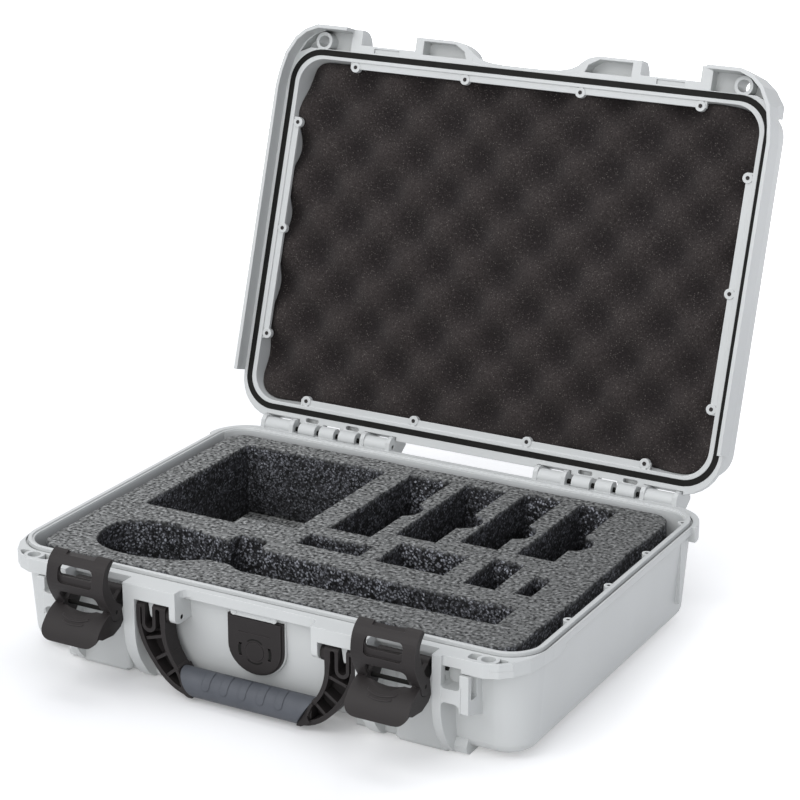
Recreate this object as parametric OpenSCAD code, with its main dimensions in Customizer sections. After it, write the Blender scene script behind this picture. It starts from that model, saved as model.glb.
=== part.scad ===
// Microphone case: hinged hard case with two lever latches, folding handle and fitted foam.
// Frame: origin at the centre of the rest face, +X right, +Y to the hinge, +Z up, lid open.
// Heights inside the modules are counted from the base lip (z = 0), which stands at base_h.

/* [Case] */
// height of the base lip above the floor
base_h = 68; // [66:0.5:72]
// lid depth above the lip, pads included
lid_h = 51; // [45:0.5:60]
// half width of the cavity at the base lip
cav_x = 167.5; // [150:0.5:180]
// half depth of the cavity at the base lip
cav_y = 118; // [105:0.5:130]
// cavity corner radius
cav_r = 18; // [10:0.5:25]
// depth of the base cavity
base_deep = 61.5; // [50:0.5:66]
// depth of the lid cavity
lid_deep = 42.5; // [35:0.5:48]
// wall thickness at the lip
wall = 4; // [3:0.1:5]
// gap between lid land and base tongue when shut
land_gap = 0.4; // [0.3:0.05:0.8]

/* [Hinge] */
// hinge axis behind the centre
hinge_y = 133; // [128:0.5:138]
// hinge axis above the lip
hinge_z = -1; // [-3:0.5:2]
// knuckle radius
knuckle_r = 5.2; // [4:0.1:6]
// hinge pin radius
hinge_pin_r = 1.6; // [1.2:0.1:2.2]
// lid angle from shut
lid_open = 107.71; // [0:0.01:115]
// running clearance of the pins
fit = 0.06; // [0.02:0.01:0.1]

/* [Latch] */
// latch centre to each side
latch_x = 101; // [98:0.5:106]
// half width of a latch
latch_w = 19.7; // [16:0.1:22]
// space beside a latch
latch_gap = 0.3; // [0.2:0.05:0.6]
// thickness of a claw cheek
cheek = 3.3; // [2.4:0.1:4]
// thickness of a lever arm
arm_w = 2.6; // [2:0.1:4]
// lever pivot, y then z
lever_y = -131.4; // [-134:0.1:-129]
lever_z = -11; // [-14:0.1:-9]
// claw pivot with the latch open, y then z
claw_y = -144; // [-147:0.1:-141]
claw_z = -18.5; // [-21:0.1:-16]
// pin radii
lever_pin_r = 1.5; // [1.2:0.1:1.8]
claw_pin_r = 1.3; // [1:0.1:1.6]

/* [Handle] */
// handle pivot, y then z
handle_y = -130.9; // [-134:0.1:-129]
handle_z = -18.5; // [-20:0.1:-17]
// hub radius
hub_r = 7.3; // [6.5:0.1:7.4]
// half width of the handle
handle_w = 72.7; // [70:0.1:73]
// grip centre, y then z
grip_y = -131.6; // [-133:0.1:-128]
grip_z = -57.4; // [-60:0.1:-54]

/* [Foam] */
// top of the base foam
foam_top = -3; // [-8:0.5:-2]
// thickness of the pad beneath it
pad_t = 9.8; // [6:0.1:14]
// peaks of the lid foam above the lip when shut
lid_foam_top = 5; // [4:0.5:8]
// valleys of the lid foam
egg_valley = 14.6; // [12:0.2:18]
// distance of neighbouring peaks
egg_pitch = 33; // [28:0.5:40]
// turn of the peak pattern
egg_turn = 42.6; // [30:0.1:60]

/* [Hidden] */
top_z = land_gap;
// faces of the two towers beside a latch
in_x = latch_x - latch_w - latch_gap;
out_x = latch_x + latch_w + latch_gap;
// width of the lever
lever_w = latch_w - 0.2;
// outer faces of the lever arms, inside the claw cheeks
arm_x = latch_w - cheek - 0.2;
// centre of the snap loop and the prong of the handle
loop_x = handle_w - 8.4;
// centre of the valve
valve_z = -33;

shell_c = [0.80, 0.81, 0.80];
dark_c = [0.20, 0.19, 0.19];
slate_c = [0.37, 0.39, 0.42];
foam_c = [0.35, 0.35, 0.34];
steel_c = [0.62, 0.62, 0.60];

// ---------- helpers ----------
function arc(c, ry, rz, a0, a1, n = 6) =
  [for (i = [0:n]) [c[0] + ry * cos(a0 + (a1 - a0) * i / n), c[1] + rz * sin(a0 + (a1 - a0) * i / n)]];
function bow(p, q, s, n = 8) = [for (i = [0:n]) let (t = i / n)
  (1 - t) * (1 - t) * p + 2 * t * (1 - t) * q + t * t * s];
function flip(p) = [for (i = [len(p) - 1:-1:0]) [-p[i][0], p[i][1]]];

// sweeps a (u, z) outline round a rounded rectangle; u = 0 lies on it, u > 0 is outside
module sweep(hx, hy, r) {
  for (k = [0:3]) {
    a = k % 2 == 0 ? hx : hy;
    b = k % 2 == 0 ? hy : hx;
    rotate(90 * k) {
      translate([a, b - r, 0]) rotate([90, 0, 0]) linear_extrude(2 * (b - r)) children();
      translate([a - r, b - r, 0]) rotate_extrude(angle = 90) translate([r, 0]) children();
    }
  }
}

// solid block with drafted or rounded sides; pts runs from the lower edge to the upper one
module block(hx, hy, r, pts) {
  z0 = pts[0][1];
  z1 = pts[len(pts) - 1][1];
  sweep(hx, hy, r) polygon(concat([[-r, z0]], pts, [[-r, z1]]));
  translate([-(hx - r) - 1, -(hy - r) - 1, z0]) cube([2 * (hx - r) + 2, 2 * (hy - r) + 2, z1 - z0]);
}

// (y, z) outline extruded from x0 to x1
module xslab(x0, x1) {
  translate([x0, 0, 0]) rotate([90, 0, 90]) linear_extrude(x1 - x0) children();
}

// rod along x
module xrod(x0, x1, y, z, r) {
  translate([x0, y, z]) rotate([0, 90, 0]) cylinder(r = r, h = x1 - x0, $fn = 48);
}

// (x, y) outline extruded from z0 to z1
module zslab(z0, z1) {
  translate([0, 0, z0]) linear_extrude(z1 - z0) children();
}

// rounded rectangle by its corners
module rrect(x0, y0, x1, y1, r) {
  translate([x0 + r, y0]) square([x1 - x0 - 2 * r, y1 - y0]);
  translate([x0, y0 + r]) square([x1 - x0, y1 - y0 - 2 * r]);
  for (x = [x0 + r, x1 - r], y = [y0 + r, y1 - r]) translate([x, y]) circle(r = r, $fn = 32);
}

module both() {
  children();
  mirror([1, 0, 0]) children();
}

module at_lip() {
  translate([0, 0, base_h]) children();
}

// places a lid part, drawn shut, in its open rest pose
module lid_pose() {
  translate([0, hinge_y, base_h + hinge_z]) rotate([-lid_open, 0, 0])
    translate([0, -hinge_y, -hinge_z]) children();
}

// ---------- base ----------
// front outline of the base flange, right half
function base_front() = concat(
  [[0, -128]], arc([39.1, -134], 6, 6, 90, 0, 5), [[45.1, -138], [in_x, -138], [in_x, -128.4],
  [out_x, -128.4], [out_x, -138], [out_x + 5.6, -138], [out_x + 5.6, -135.4], [150.2, -135.4], [158.4, -132],
  [164.5, -126.4], [170, -116.7], [172.7, -105], [173.8, -95]]);

module base_flange_2d(y_end) {
  f = base_front();
  polygon(concat([[-173.8, y_end]], flip(f), f, [[173.8, y_end]]));
}

module tower_2d() {
  polygon(concat([[-117, -1.8], [-138, -1.8]], bow([-138, -30], [-138, -44], [-130.4, -55], 7),
    bow([-129.4, -56.5], [-122.4, -68], [-115, -68], 6), [[-100, -68], [-100, -50]]));
}

module latch_tower() {
  x = out_x;
  // inner blade, full height
  xslab(x, x + 5.5) tower_2d();
  // bar between the windows, with rounded corners towards the post
  translate([0, -121.5, 0]) rotate([90, 0, 0]) linear_extrude(16.3)
    polygon(concat([[x + 5, -20.3]], arc([x + 7.8, -17.9], 2.4, 2.4, -180, -90, 4),
      arc([x + 14.4, -17.9], 2.4, 2.4, -90, 0, 4), [[x + 17.4, -17.9], [x + 17.4, -34]],
      arc([x + 13.2, -32.4], 3.8, 3.8, 0, 90, 4), arc([x + 8, -31], 2.5, 2.5, 90, 180, 4), [[x + 5, -31]]));
  // outer post with its slanted foot
  xslab(x + 16.4, x + 22) polygon([[-117, -11], [-137.4, -11], [-137.4, -33.4], [-134, -34.2], [-117, -41]]);
  // inner side of the upper window
  translate([x + 5, -127, -28]) cube([13, 10, 20]);
  // foot
  xslab(x, x + 13)
    polygon([[-100, -58], [-118.5, -58], [-121, -62], [-120.4, -66], [-117, -68], [-100, -68]]);
}

module handle_tower() {
  xslab(handle_w + 0.7, in_x) tower_2d();
  // header over the handle arm
  translate([45.1, -138, -10.7]) cube([in_x - 46, 18, 8.9]);
  // ear with the pivot hole
  xslab(45.1, 49.2) polygon(concat([[-119, -4], [-138, -4], [-138, -17]],
    arc([-133, -17], 5, 5, 180, 270, 4), [[-119, -22]]));
  // tapered prong inside the snap loop of the handle
  translate([loop_x, -129.5, 0]) rotate([90, 0, 0]) linear_extrude(3.8)
    polygon([[-2.2, -9], [-2.2, -13], [-1.2, -20], [-0.5, -21.8],
      [0.5, -21.8], [1.2, -20], [2.2, -13], [2.2, -9]]);
  // wide foot that runs on below the latch
  xslab(62, in_x + 12) polygon([[-100, -68], [-114.6, -68], [-116.6, -67.2], [-117.4, -65.6],
    [-117.4, -56], [-100, -56]]);
  xslab(in_x + 11, out_x + 1) polygon([[-100, -68], [-118.6, -68], [-120.8, -67.2], [-121.9, -65.4],
    [-121.9, -3], [-100, -3]]);
  translate([in_x + 11, -118.9, -65.4]) cylinder(r = 3, h = 62.4, $fn = 32);
}

module base_knuckle(x0, x1) {
  xrod(x0, x1, hinge_y, hinge_z, knuckle_r);
  xslab(x0, x1)
    polygon([[120, -2], [127.9, -2], [130, 2.2], [134.5, -5.9], [127, -12], [120, -16]]);
}

module fin(x) {
  xslab(x, x + 3) polygon([[120, -2], [127, -2], [128.5, 3.2], [131, 5.5], [134, 5.8], [136.2, 5.0],
    [151, -2.65], [151, -4.8], [135, -15], [120, -24]]);
}

module base_hinge() {
  base_knuckle(52.6, 75.2);
  base_knuckle(95.8, 107);
  base_knuckle(127, 152);
  for (x = [52.6, 72.2, 127, 149]) fin(x);
}

// panel that drops into the lid frame of a case below
module stacking_panel_2d() {
  rrect(-132, -84, 132, 84, 6);
}

module padlock_boss(z0, z1) {
  zslab(z0, z1) translate([150.5, -128.6]) circle(r = 6.2, $fn = 40);
}

module base_shell() color(shell_c) at_lip() difference() {
  union() {
    // tub with drafted walls and rounded bottom edge
    block(cav_x + wall, cav_y + wall, cav_r + wall, concat(
      arc([-12.4, -55.7], 8.8, 8.8, -90, 0, 6), [[0, -3]]));
    // flange round the sides, deeper at the front and behind
    zslab(-6.5, -1.8) base_flange_2d(108);
    zslab(-10.5, -2) intersection() {
      base_flange_2d(-80);
      union() {
        both() translate([out_x, -140]) square([180 - out_x, 60]);
        both() translate([45.1, -140]) square([in_x - 45.1, 24]);
      }
    }
    zslab(-8, -2) translate([-46, -128]) square([92, 12]);
    // rear band and corners
    zslab(-12, -1.8) difference() {
      rrect(-176, 60, 176, 128.6, 27);
      translate([-cav_x - wall - 10, 59]) square([2 * (cav_x + wall) + 20, 42]);
    }
    // tongue and its inner step
    sweep(cav_x, cav_y, cav_r) polygon([[0, -5], [0, -1], [1.2, -1], [1.4, 0], [3.6, 0], [3.8, -5]]);
    both() latch_tower();
    both() handle_tower();
    both() base_hinge();
    // flat seat of the valve, and the tab over it
    translate([0, -117.5, 0]) rotate([90, 0, 0]) linear_extrude(4.6) d_plate_2d(19.3, -9, valve_z + 2);
    translate([-13, -125.2, -12.4]) cube([26, 8, 3.4]);
    for (x = [-13.4, 13.4]) translate([x, -117.5, -10.4]) rotate([90, 0, 0])
      cylinder(r = 1.9, h = 8.2, $fn = 24);
    // stacking panel under the floor
    zslab(-base_h, 4 - base_h) stacking_panel_2d();
    // rear feet
    both() for (x = [67, 125]) translate([x, 96, -68]) cube([20, 16, 10]);
    // corner ribs of the side walls
    both() xslab(168.2, 171.3) polygon([[90, -6], [96, -6], [95, -50], [91, -50]]);
    padlock_boss(-10.5, -1.8);
    mirror([1, 0, 0]) padlock_boss(-10.5, -1.8);
  }
  // cavity
  block(cav_x, cav_y, cav_r, concat(
    arc([-7.6, 4 - base_deep], 4, 4, -90, 0, 3), [[0, 2]]));
  // groove outside the tongue
  sweep(cav_x, cav_y, cav_r) polygon([[3.8, -3], [5.1, -3], [5.3, -1], [3.75, -1]]);
  // clearance of the lid knuckles
  both() for (s = [[78.3, 93.2], [109.3, 124.2]])
    translate([s[0], 127.2, -14]) cube([s[1] - s[0], 8, 16]);
  // hinge bores
  both() xrod(50, 151, hinge_y, hinge_z, hinge_pin_r + fit);
  // padlock bores and pockets
  both() {
    translate([150.5, -128.6, -14]) cylinder(r = 4, h = 16, $fn = 32);
    zslab(-6, 0) difference() {
      rrect(139, -132.4, 161.6, -125, 2.4);
      translate([150.5, -128.6]) circle(r = 6.2, $fn = 40);
    }
    // side slot of the post, and a short slit beside the lever pin
    xslab(out_x + 19, out_x + 23) rrect(-133.9, -26, -127, -11, 1.6);
    xslab(out_x + 3.9, out_x + 6) rrect(-133, -18.6, -132, -14.6, 0.4);
    // lever pin bores
    xrod(in_x - 3.9, out_x + 7, lever_y, lever_z, lever_pin_r + fit);
    // trunnion and pin bores of the handle
    xrod(handle_w, handle_w + 3.9, handle_y, handle_z, 2.5 + fit);
    xrod(44, 50, handle_y, handle_z, 1.5 + fit);
  }
  // upper windows of the outer towers
  both() translate([out_x + 5.5, -139, -12]) cube([10.9, 12, 4]);
  // valve bore and the groove of its seal
  translate([0, -126, valve_z]) rotate([-90, 0, 0]) cylinder(r = 5.8, h = 14, $fn = 40);
  translate([0, -120.9, valve_z]) rotate([90, 0, 0]) difference() {
    cylinder(r = 9.05, h = 3, $fn = 40);
    translate([0, 0, -1]) cylinder(r = 6.9, h = 5, $fn = 40);
  }
  // wall bosses are hollow
  both() for (y = [-61, -6, 49, 104]) translate([cav_x - 1.5, y, -7]) cylinder(r = 1.2, h = 8, $fn = 20);
}

// ---------- lid, drawn shut ----------
function lid_outer() = [[177, -95], [175.7, -105.4], [173, -117.9], [167, -128.6], [160.2, -134.6],
  [151, -138.5]];
function skirt_inner() = [[out_x + 7.4, -136.1], [150.4, -136.1], [159, -132.5], [165.1, -127],
  [170.7, -117], [173.4, -105], [174.6, -95]];

// front outline of the lid flange, right half
function lid_front() = concat(
  [[0, -124.5], [33, -124.5], [37, -125.2]], arc([53, -125.6], 15.4, 12, 180, 270, 6),
  [[in_x, -137.6], [in_x, -128.4], [out_x + 0.7, -128.4], [out_x + 0.7, -138.5]]);

module lid_plan_2d() {
  f = lid_front();
  g = [for (i = [len(lid_outer()) - 1:-1:0]) lid_outer()[i]];
  h = concat(f, g, [[177, 99.5], [174.8, 99.5], [174.8, 101.6]],
    arc([147.8, 101.6], 27, 27, 0, 90, 8));
  polygon(concat(h, flip(h)));
}

module lid_front_2d() {
  polygon(concat([[-112, top_z], [-138.5, top_z], [-138.5, 5]], arc([-127, 5], 11.5, 12, 180, 90, 6),
    [[-121.6, 20.5], [-112, 20.5]]));
}

module lid_knuckle(x0, x1) {
  xrod(x0, x1, hinge_y, hinge_z, knuckle_r);
  xslab(x0, x1) polygon([[118, 16], [126, 12], [136.6, 2.8], [134, -5.9], [130.5, 0.2], [126.2, top_z],
    [118, top_z]]);
}

// pad that meets the base fins in the open pose
module stop_pad(x0, x1) {
  xslab(x0, x1) polygon([[118, top_z], [126.0, top_z], [128.75, 16.6], [127, 19.6], [118, 26]]);
}

module lid_shell() color(shell_c) lid_pose() {
  lid_body();
  lid_ledge();
  lid_catches();
  lid_bosses();
}

module lid_body() difference() {
  union() {
    // box with drafted walls and rounded top edge
    block(cav_x + wall, cav_y + wall, cav_r + wall, concat(
      [[0, top_z]], arc([-12, 37], 9, 9.5, 0, 90, 6)));
    // flange
    zslab(top_z, 6) lid_plan_2d();
    // front masses beside the latches and the handle
    intersection() {
      zslab(top_z, 21) lid_plan_2d();
      lid_front_2d_slabs();
    }
    // skirt over the base flange at the sides and front corners
    both() zslab(-10.5, 1)
      polygon(concat(skirt_inner(), [[174.6, 99.5], [177, 99.5]], lid_outer(), [[out_x + 7.4, -138.5]]));
    both() {
      lid_knuckle(79.5, 92);
      lid_knuckle(110.5, 123);
      stop_pad(53, 75);
      stop_pad(127.4, 151.6);
    }
    // stacking pads and frame on the roof
    zslab(44, lid_h - 2.5) difference() {
      rrect(-148, -100, 148, 100, 12);
      rrect(-136, -88, 136, 88, 8);
    }
    both() for (y = [-96, 84]) translate([124, y, 44]) cube([20, 12, lid_h - 44]);
  }
  // cavity
  block(cav_x - 2, cav_y - 1.3, cav_r, concat([[0, -20], [0, top_z]],
    [for (p = arc([-8.5, lid_deep - 5], 5, 5, 0, 90, 3)) p]));
  // seal channel
  sweep(cav_x, cav_y, cav_r) polygon([[1, top_z - 1], [1, 3.6], [5, 3.6], [5, top_z - 1]]);
  // latch recesses keep only a thin catch
  both() translate([in_x - 0.1, -140, 2.6]) cube([out_x - in_x + 0.9, 17.3, 30]);
  both() {
    // slot under the catch
    translate([latch_x - 8.5, -127, -1]) cube([19, 3, 3]);
    // hollow of the corner block, with the padlock boss left standing
    difference() {
      zslab(-1, 9) polygon([[out_x + 8.3, -136.1], [149.8, -136.1], [158, -132.6], [164, -127], [168, -120],
        [160, -123.5], [out_x + 8.3, -123.5]]);
      padlock_boss(-2, 10);
    }
    translate([150.5, -128.6, -2]) cylinder(r = 4, h = 24, $fn = 32);
    // hollow of the block beside the handle
    zslab(-1, 11) polygon([[75, -135.6], [75, -126.6], [42.5, -126.6], [44.6, -131.5], [52, -135.6]]);
    // clearance of the base knuckles and fins
    for (s = [[51.9, 75.9], [126.3, 152.7]])
      xslab(s[0], s[1])
        polygon([[126.0, -3], [126.0, top_z], [128.75, 16.6], [128.9, 17.4], [142, 17.4], [142, -3]]);
    translate([95, 127.2, -3]) cube([12.8, 12, 12]);
    // slots over the knuckles
    for (x = [85.5, 116.7]) zslab(-1, 5) rrect(x - 5, 124.6, x + 5, 127.4, 1.3);
    xrod(50, 151, hinge_y, hinge_z, hinge_pin_r + fit);
  }
}

// raised catches the claws bear on
module lid_catches() both() xslab(latch_x - 9, latch_x + 10.5)
  polygon([[-123.4, 1.5], [-128.4, 1.5], [-128.4, 2.8], [-127.7, 3.4], [-125.8, 3.2], [-124.9, 2.4], [-124, 4],
    [-120.8, 12], [-120.4, 12], [-120.4, 3.9], [-123.4, 3.9]]);

module lid_front_2d_slabs() {
  both() xslab(34, in_x) lid_front_2d();
  both() xslab(out_x + 0.7, 172) lid_front_2d();
}

// ringed bosses along the rim ledge
module lid_bosses() {
  for (x = [-124, -41.5, 41.5, 124], s = [-1, 1]) boss_ring(x, s * (cav_y - 4.6));
  for (y = [-72.5, 0, 72.5], s = [-1, 1]) boss_ring(s * (cav_x - 5.3), y);
}

module boss_ring(x, y) zslab(0.9, 4.4) translate([x, y]) difference() {
  circle(r = 3.4, $fn = 28);
  circle(r = 1.3, $fn = 20);
}

module lid_ledge() {
  for (s = [-1, 1]) {
    translate([s * (cav_x - 3.8) - 2.5, -76, 1.4]) cube([5, 152, 2.6]);
    translate([-128, s * (cav_y - 3.1) - 2.5, 1.4]) cube([256, 5, 2.6]);
  }
}

module lid_seal() color(dark_c) lid_pose()
  sweep(cav_x, cav_y, cav_r) polygon([[1.05, 0.3], [1.05, 3.5], [4.95, 3.5], [4.95, 0.3]]);

// lattice points of the peaks (k = 0) or of the valleys between them (k = 0.5)
function egg(k) = [for (i = [-7:7], j = [-7:7])
  let (a = (i + k) * egg_pitch, b = (j + k) * egg_pitch,
    x = -72 + a * cos(egg_turn) - b * sin(egg_turn), y = -83.2 + a * sin(egg_turn) + b * cos(egg_turn))
  if (abs(x) < cav_x - 4 && abs(y) < cav_y - 4) [x, y]];

// sheet with rounded peaks and valleys; the sheet's own face lies midway between them
module lid_foam() color(dark_c) lid_pose() {
  mid = (lid_foam_top + egg_valley) / 2;
  deep = mid - lid_foam_top;
  foot = egg_pitch * 0.34;
  ball = (foot * foot + deep * deep) / (2 * deep);
  difference() {
    block(cav_x - 2, cav_y - 1.3, cav_r,
      [[-0.8, lid_foam_top], [-3.9, 37], [-5.6, 40.4], [-8.6, lid_deep - 0.3]]);
    difference() {
      translate([-cav_x, -cav_y, lid_foam_top - 1]) cube([2 * cav_x, 2 * cav_y, deep + 1]);
      for (p = egg(0)) translate([p[0], p[1], lid_foam_top + ball]) sphere(r = ball, $fn = 36);
    }
    for (p = egg(0.5)) translate([p[0], p[1], egg_valley - ball]) sphere(r = ball, $fn = 36);
  }
}

// ---------- foam of the base ----------
foam_x = 160.5;
foam_y = 113.5;
foam_c0 = [-3, 0.7];

module foam_pockets_2d() {
  // long pocket and its round head
  polygon([[-40, -54], [60, -60], [132, -59], [132, -83], [60, -86], [-34, -88], [-42, -82.4], [-60, -82.4],
    [-68, -90], [-86, -96], [-110, -99.5], [-132, -93], [-141, -74], [-138, -55], [-120, -46.5], [-98, -46],
    [-63, -53], [-62, -43], [-60.4, -40.8], [-43.6, -40.8], [-42, -44]]);
  // square pocket
  polygon([[-142, 96.5], [-38, 96.5], [-38, -15], [-77, -15], [-77, -25], [-142, -25]]);
  translate([-25, -35]) square([42, 16]);
  translate([123, -39]) square([9, 26]);
  // four upright pockets with finger notches
  for (p = [[-20, 28, -5, 99, 7], [20, 26.5, 6, 101, 10.5], [60, 24, 14, 105, 9], [98, 23.5, 14, 105, 9.5]]) {
    translate([p[0], p[2]]) square([p[1], p[3] - p[2]]);
    translate([p[0] + p[1] - 1, 33]) square([p[4] + 1 - 5, 25]);
    translate([p[0] + p[1] + p[4] - 12.4, 45.5]) circle(r = 12.5, $fn = 12);
  }
  translate([30, -36]) square([44, 31]);
  translate([90, -40]) square([19, 40]);
}

module base_foam() color(foam_c) at_lip() difference() {
  translate([foam_c0[0], foam_c0[1], 0])
    zslab(-base_deep + 0.2 + pad_t, foam_top) rrect(-foam_x, -foam_y, foam_x, foam_y, 15);
  zslab(-80, 10) foam_pockets_2d();
}

module base_foam_pad() color(foam_c) at_lip() translate([foam_c0[0], foam_c0[1], 0])
  zslab(-base_deep, -base_deep + pad_t) rrect(-156, -109, 156, 109, 13);

// ---------- latch, right side ----------
function claw_front() = concat(bow([-147, 15.8], [-156.6, 12.6], [-157, 0.4], 9),
  bow([-157, 0.4], [-157, -6.5], [-150, -16.4], 6));

module claw_cheek_2d() {
  polygon(concat(claw_front(), [[-148.3, -19.2], [-139.4, -20], [-139.6, -17]],
    bow([-139.6, -17], [-150.4, -6], [-151.2, 6], 6), bow([-151.2, 6], [-150.4, 9.4], [-145.8, 13.4], 3)));
  translate([claw_y, claw_z]) circle(r = 5.3, $fn = 40);
}

module claw_plate_2d() {
  polygon(concat(claw_front(), bow([-148.8, -15.2], [-153.6, -8], [-154, 0.6], 5),
    bow([-154, 0.6], [-153.8, 7.2], [-149.8, 11.4], 6), [[-146.2, 11.5], [-145.4, 12.8], [-145.8, 13.6]]));
}

module latch_claw() difference() {
  union() {
    for (x = [-latch_w, latch_w - cheek]) xslab(x, x + cheek) claw_cheek_2d();
    xslab(-latch_w + 1, latch_w - 1) claw_plate_2d();
    // bar behind the slot
    xslab(-latch_w + 1, latch_w - 1) translate([-150.8, 0.2]) circle(r = 1.5, $fn = 24);
  }
  // grip slot, and the shallow scoop that leads into it
  translate([0, -152, 0]) rotate([90, 0, 0]) linear_extrude(8) rrect(-12, 2.4, 12, 9.4, 3.2);
  translate([0, -155.4, 0]) rotate([90, 0, 0]) linear_extrude(4) rrect(-12, -1.8, 12, 8, 2.6);
  // window above the lever
  translate([0, -140, 0]) rotate([90, 0, 0]) linear_extrude(20) rrect(-13, -22, 13, -7.4, 3);
  // top edge is lower between the ears
  xslab(-10, 10) polygon([[-152, 14.0], [-144, 14.0], [-144, 18], [-152, 18]]);
  // nose only in the middle
  for (x = [-latch_w + cheek, 8.6]) xslab(x, x + latch_w - cheek - 8.6)
    polygon([[-149.4, 10], [-149.4, 13.4], [-144, 13.4], [-144, 10]]);
  xrod(-latch_w - 2, latch_w + 2, claw_y, claw_z, claw_pin_r + fit);
}

// curved paddle; its faces are two coaxial cylinders
module lever_paddle_2d() {
  intersection() {
    translate([-142.4, -41.9]) difference() {
      circle(r = 25.55, $fn = 120);
      circle(r = 23.2, $fn = 120);
    }
    polygon([[-142.4, -41.9], [-152, -14], [-170, -14], [-170, -33.2]]);
  }
  translate([-165.3, -33.6]) circle(r = 1.2, $fn = 24);
}

module lever_side_2d() {
  intersection() {
    translate([-142.4, -41.9]) circle(r = 25.55, $fn = 120);
    polygon([[-150.2, -10], [-170, -20], [-163.6, -28.2], [-158.6, -30.6], [-147.6, -31.6], [-140.5, -29],
      [-137.4, -25.6], [-138.4, -19], [-144, -14.4]]);
  }
  polygon([[-150.2, -17.6], [-148, -25], [-140.5, -29], [-137.4, -25.6], [-138.4, -19], [-144, -14.4]]);
}

module lever_arm_2d() {
  polygon([[-145.6, -15.9], [-133.1, -8.0], [-129.2, -14.4], [-137.4, -25.6], [-140.5, -29], [-148, -27]]);
  translate([lever_y, lever_z]) circle(r = 4, $fn = 40);
}

// front outline of the paddle, and the scoop in its upper edge
module paddle_front_2d() {
  polygon(concat([[-lever_w, -10], [-lever_w, -27.5]], arc([7 - lever_w, -27.5], 7, 6.6, 180, 262, 6),
    arc([0, -32.2], 11, 3.1, 225, 315, 6), arc([lever_w - 7, -27.5], 7, 6.6, 278, 360, 6), [[lever_w, -10]]));
}

module scoop(r, y0, y1) {
  translate([0, y1, 4.2]) rotate([90, 0, 0]) cylinder(r = r, h = y1 - y0, $fn = 96);
}

module latch_lever() difference() {
  union() {
    // paddle with rounded lower corners
    intersection() {
      xslab(-lever_w, lever_w) lever_paddle_2d();
      translate([0, -130, 0]) rotate([90, 0, 0]) linear_extrude(40) paddle_front_2d();
    }
    for (x = [-lever_w, lever_w - 5.5]) xslab(x, x + 5.5) lever_side_2d();
    for (x = [-arm_x, arm_x - arm_w]) xslab(x, x + arm_w) lever_arm_2d();
    xrod(-arm_x, arm_x, lever_y, lever_z, 4);
    // thumb lines that follow the scoop
    for (k = [0, 1]) intersection() {
      xslab(-9 + 2 * k, 9 - 2 * k) translate([-142.4, -41.9]) difference() {
        circle(r = 25.95, $fn = 120);
        circle(r = 24, $fn = 120);
      }
      difference() {
        scoop(26.6 + 1.7 * k, -166, -150);
        scoop(25.9 + 1.7 * k, -167, -149);
      }
      translate([-20, -170, -30]) cube([40, 30, 14]);
    }
  }
  scoop(24.2, -158, -148.4);
  // relief for the claw bosses
  for (x = [-latch_w - 1, arm_x]) xrod(x, x + latch_w + 1 - arm_x, claw_y, claw_z, 5.7);
  xrod(-latch_w - 2, latch_w + 2, claw_y, claw_z, claw_pin_r + fit);
  xrod(-latch_w - 2, latch_w + 2, lever_y, lever_z, lever_pin_r + fit);
}

module latch_place(side) {
  at_lip() mirror([side < 0 ? 1 : 0, 0, 0]) translate([latch_x, 0, 0]) children();
}

module latch_claw_right() color(dark_c) latch_place(1) latch_claw();
module latch_claw_left() color(dark_c) latch_place(-1) latch_claw();
module latch_lever_right() color(dark_c) latch_place(1) latch_lever();
module latch_lever_left() color(dark_c) latch_place(-1) latch_lever();
module lever_pin() {
  xrod(-latch_w - latch_gap - 3.8, latch_w + latch_gap + 6.8, lever_y, lever_z, lever_pin_r);
}
module claw_pin() {
  xrod(-latch_w + 0.3, latch_w - 0.3, claw_y, claw_z, claw_pin_r);
}
module lever_pin_right() color(steel_c) latch_place(1) lever_pin();
module lever_pin_left() color(steel_c) latch_place(-1) lever_pin();
module claw_pin_right() color(steel_c) latch_place(1) claw_pin();
module claw_pin_left() color(steel_c) latch_place(-1) claw_pin();

// ---------- hinge pins ----------
module hinge_pin_right() color(steel_c) at_lip() xrod(53.4, 150.8, hinge_y, hinge_z, hinge_pin_r);
module hinge_pin_left() color(steel_c) at_lip() xrod(-150.8, -53.4, hinge_y, hinge_z, hinge_pin_r);

// ---------- handle ----------
// front outlines of the right arm, with x counted back from the half width of the handle
function from_side(p) = [for (q = p) [handle_w + q[0], q[1]]];
function arm_outer() = from_side(concat([[-0.4, -10], [0, -20]], bow([0, -20], [0.2, -34], [-8.6, -45.8], 7),
  bow([-9.4, -46.8], [-21.4, -65], [-37.8, -65], 8)));
function arm_inner() = from_side(concat([[-28.2, -49.2]], bow([-28.2, -49.2], [-19.4, -38], [-19.6, -26], 7),
  [[-20, -10]]));

// pocket between the rims, with two slits beside the snap loop
module arm_pocket_2d() {
  translate([handle_w, 0]) {
    difference() {
      polygon(concat(bow([-2.8, -22], [-2.9, -33.4], [-11, -44.6], 7),
        bow([-11.6, -45.4], [-19.4, -57], [-29.6, -60.6], 6),
        [[-30.6, -58.4]], bow([-27.6, -51.4], [-17.2, -41], [-16.6, -26], 8), [[-16.2, -22]]));
      translate([loop_x - handle_w, -25.4]) circle(r = 4.6, $fn = 48);
      translate([loop_x - handle_w - 4.6, -25.4]) square([9.2, 8]);
    }
    rrect(-16.1, -26, -13, -14.6, 1.5);
    rrect(-3.8, -26, -2.7, -15.4, 0.5);
  }
}

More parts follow.
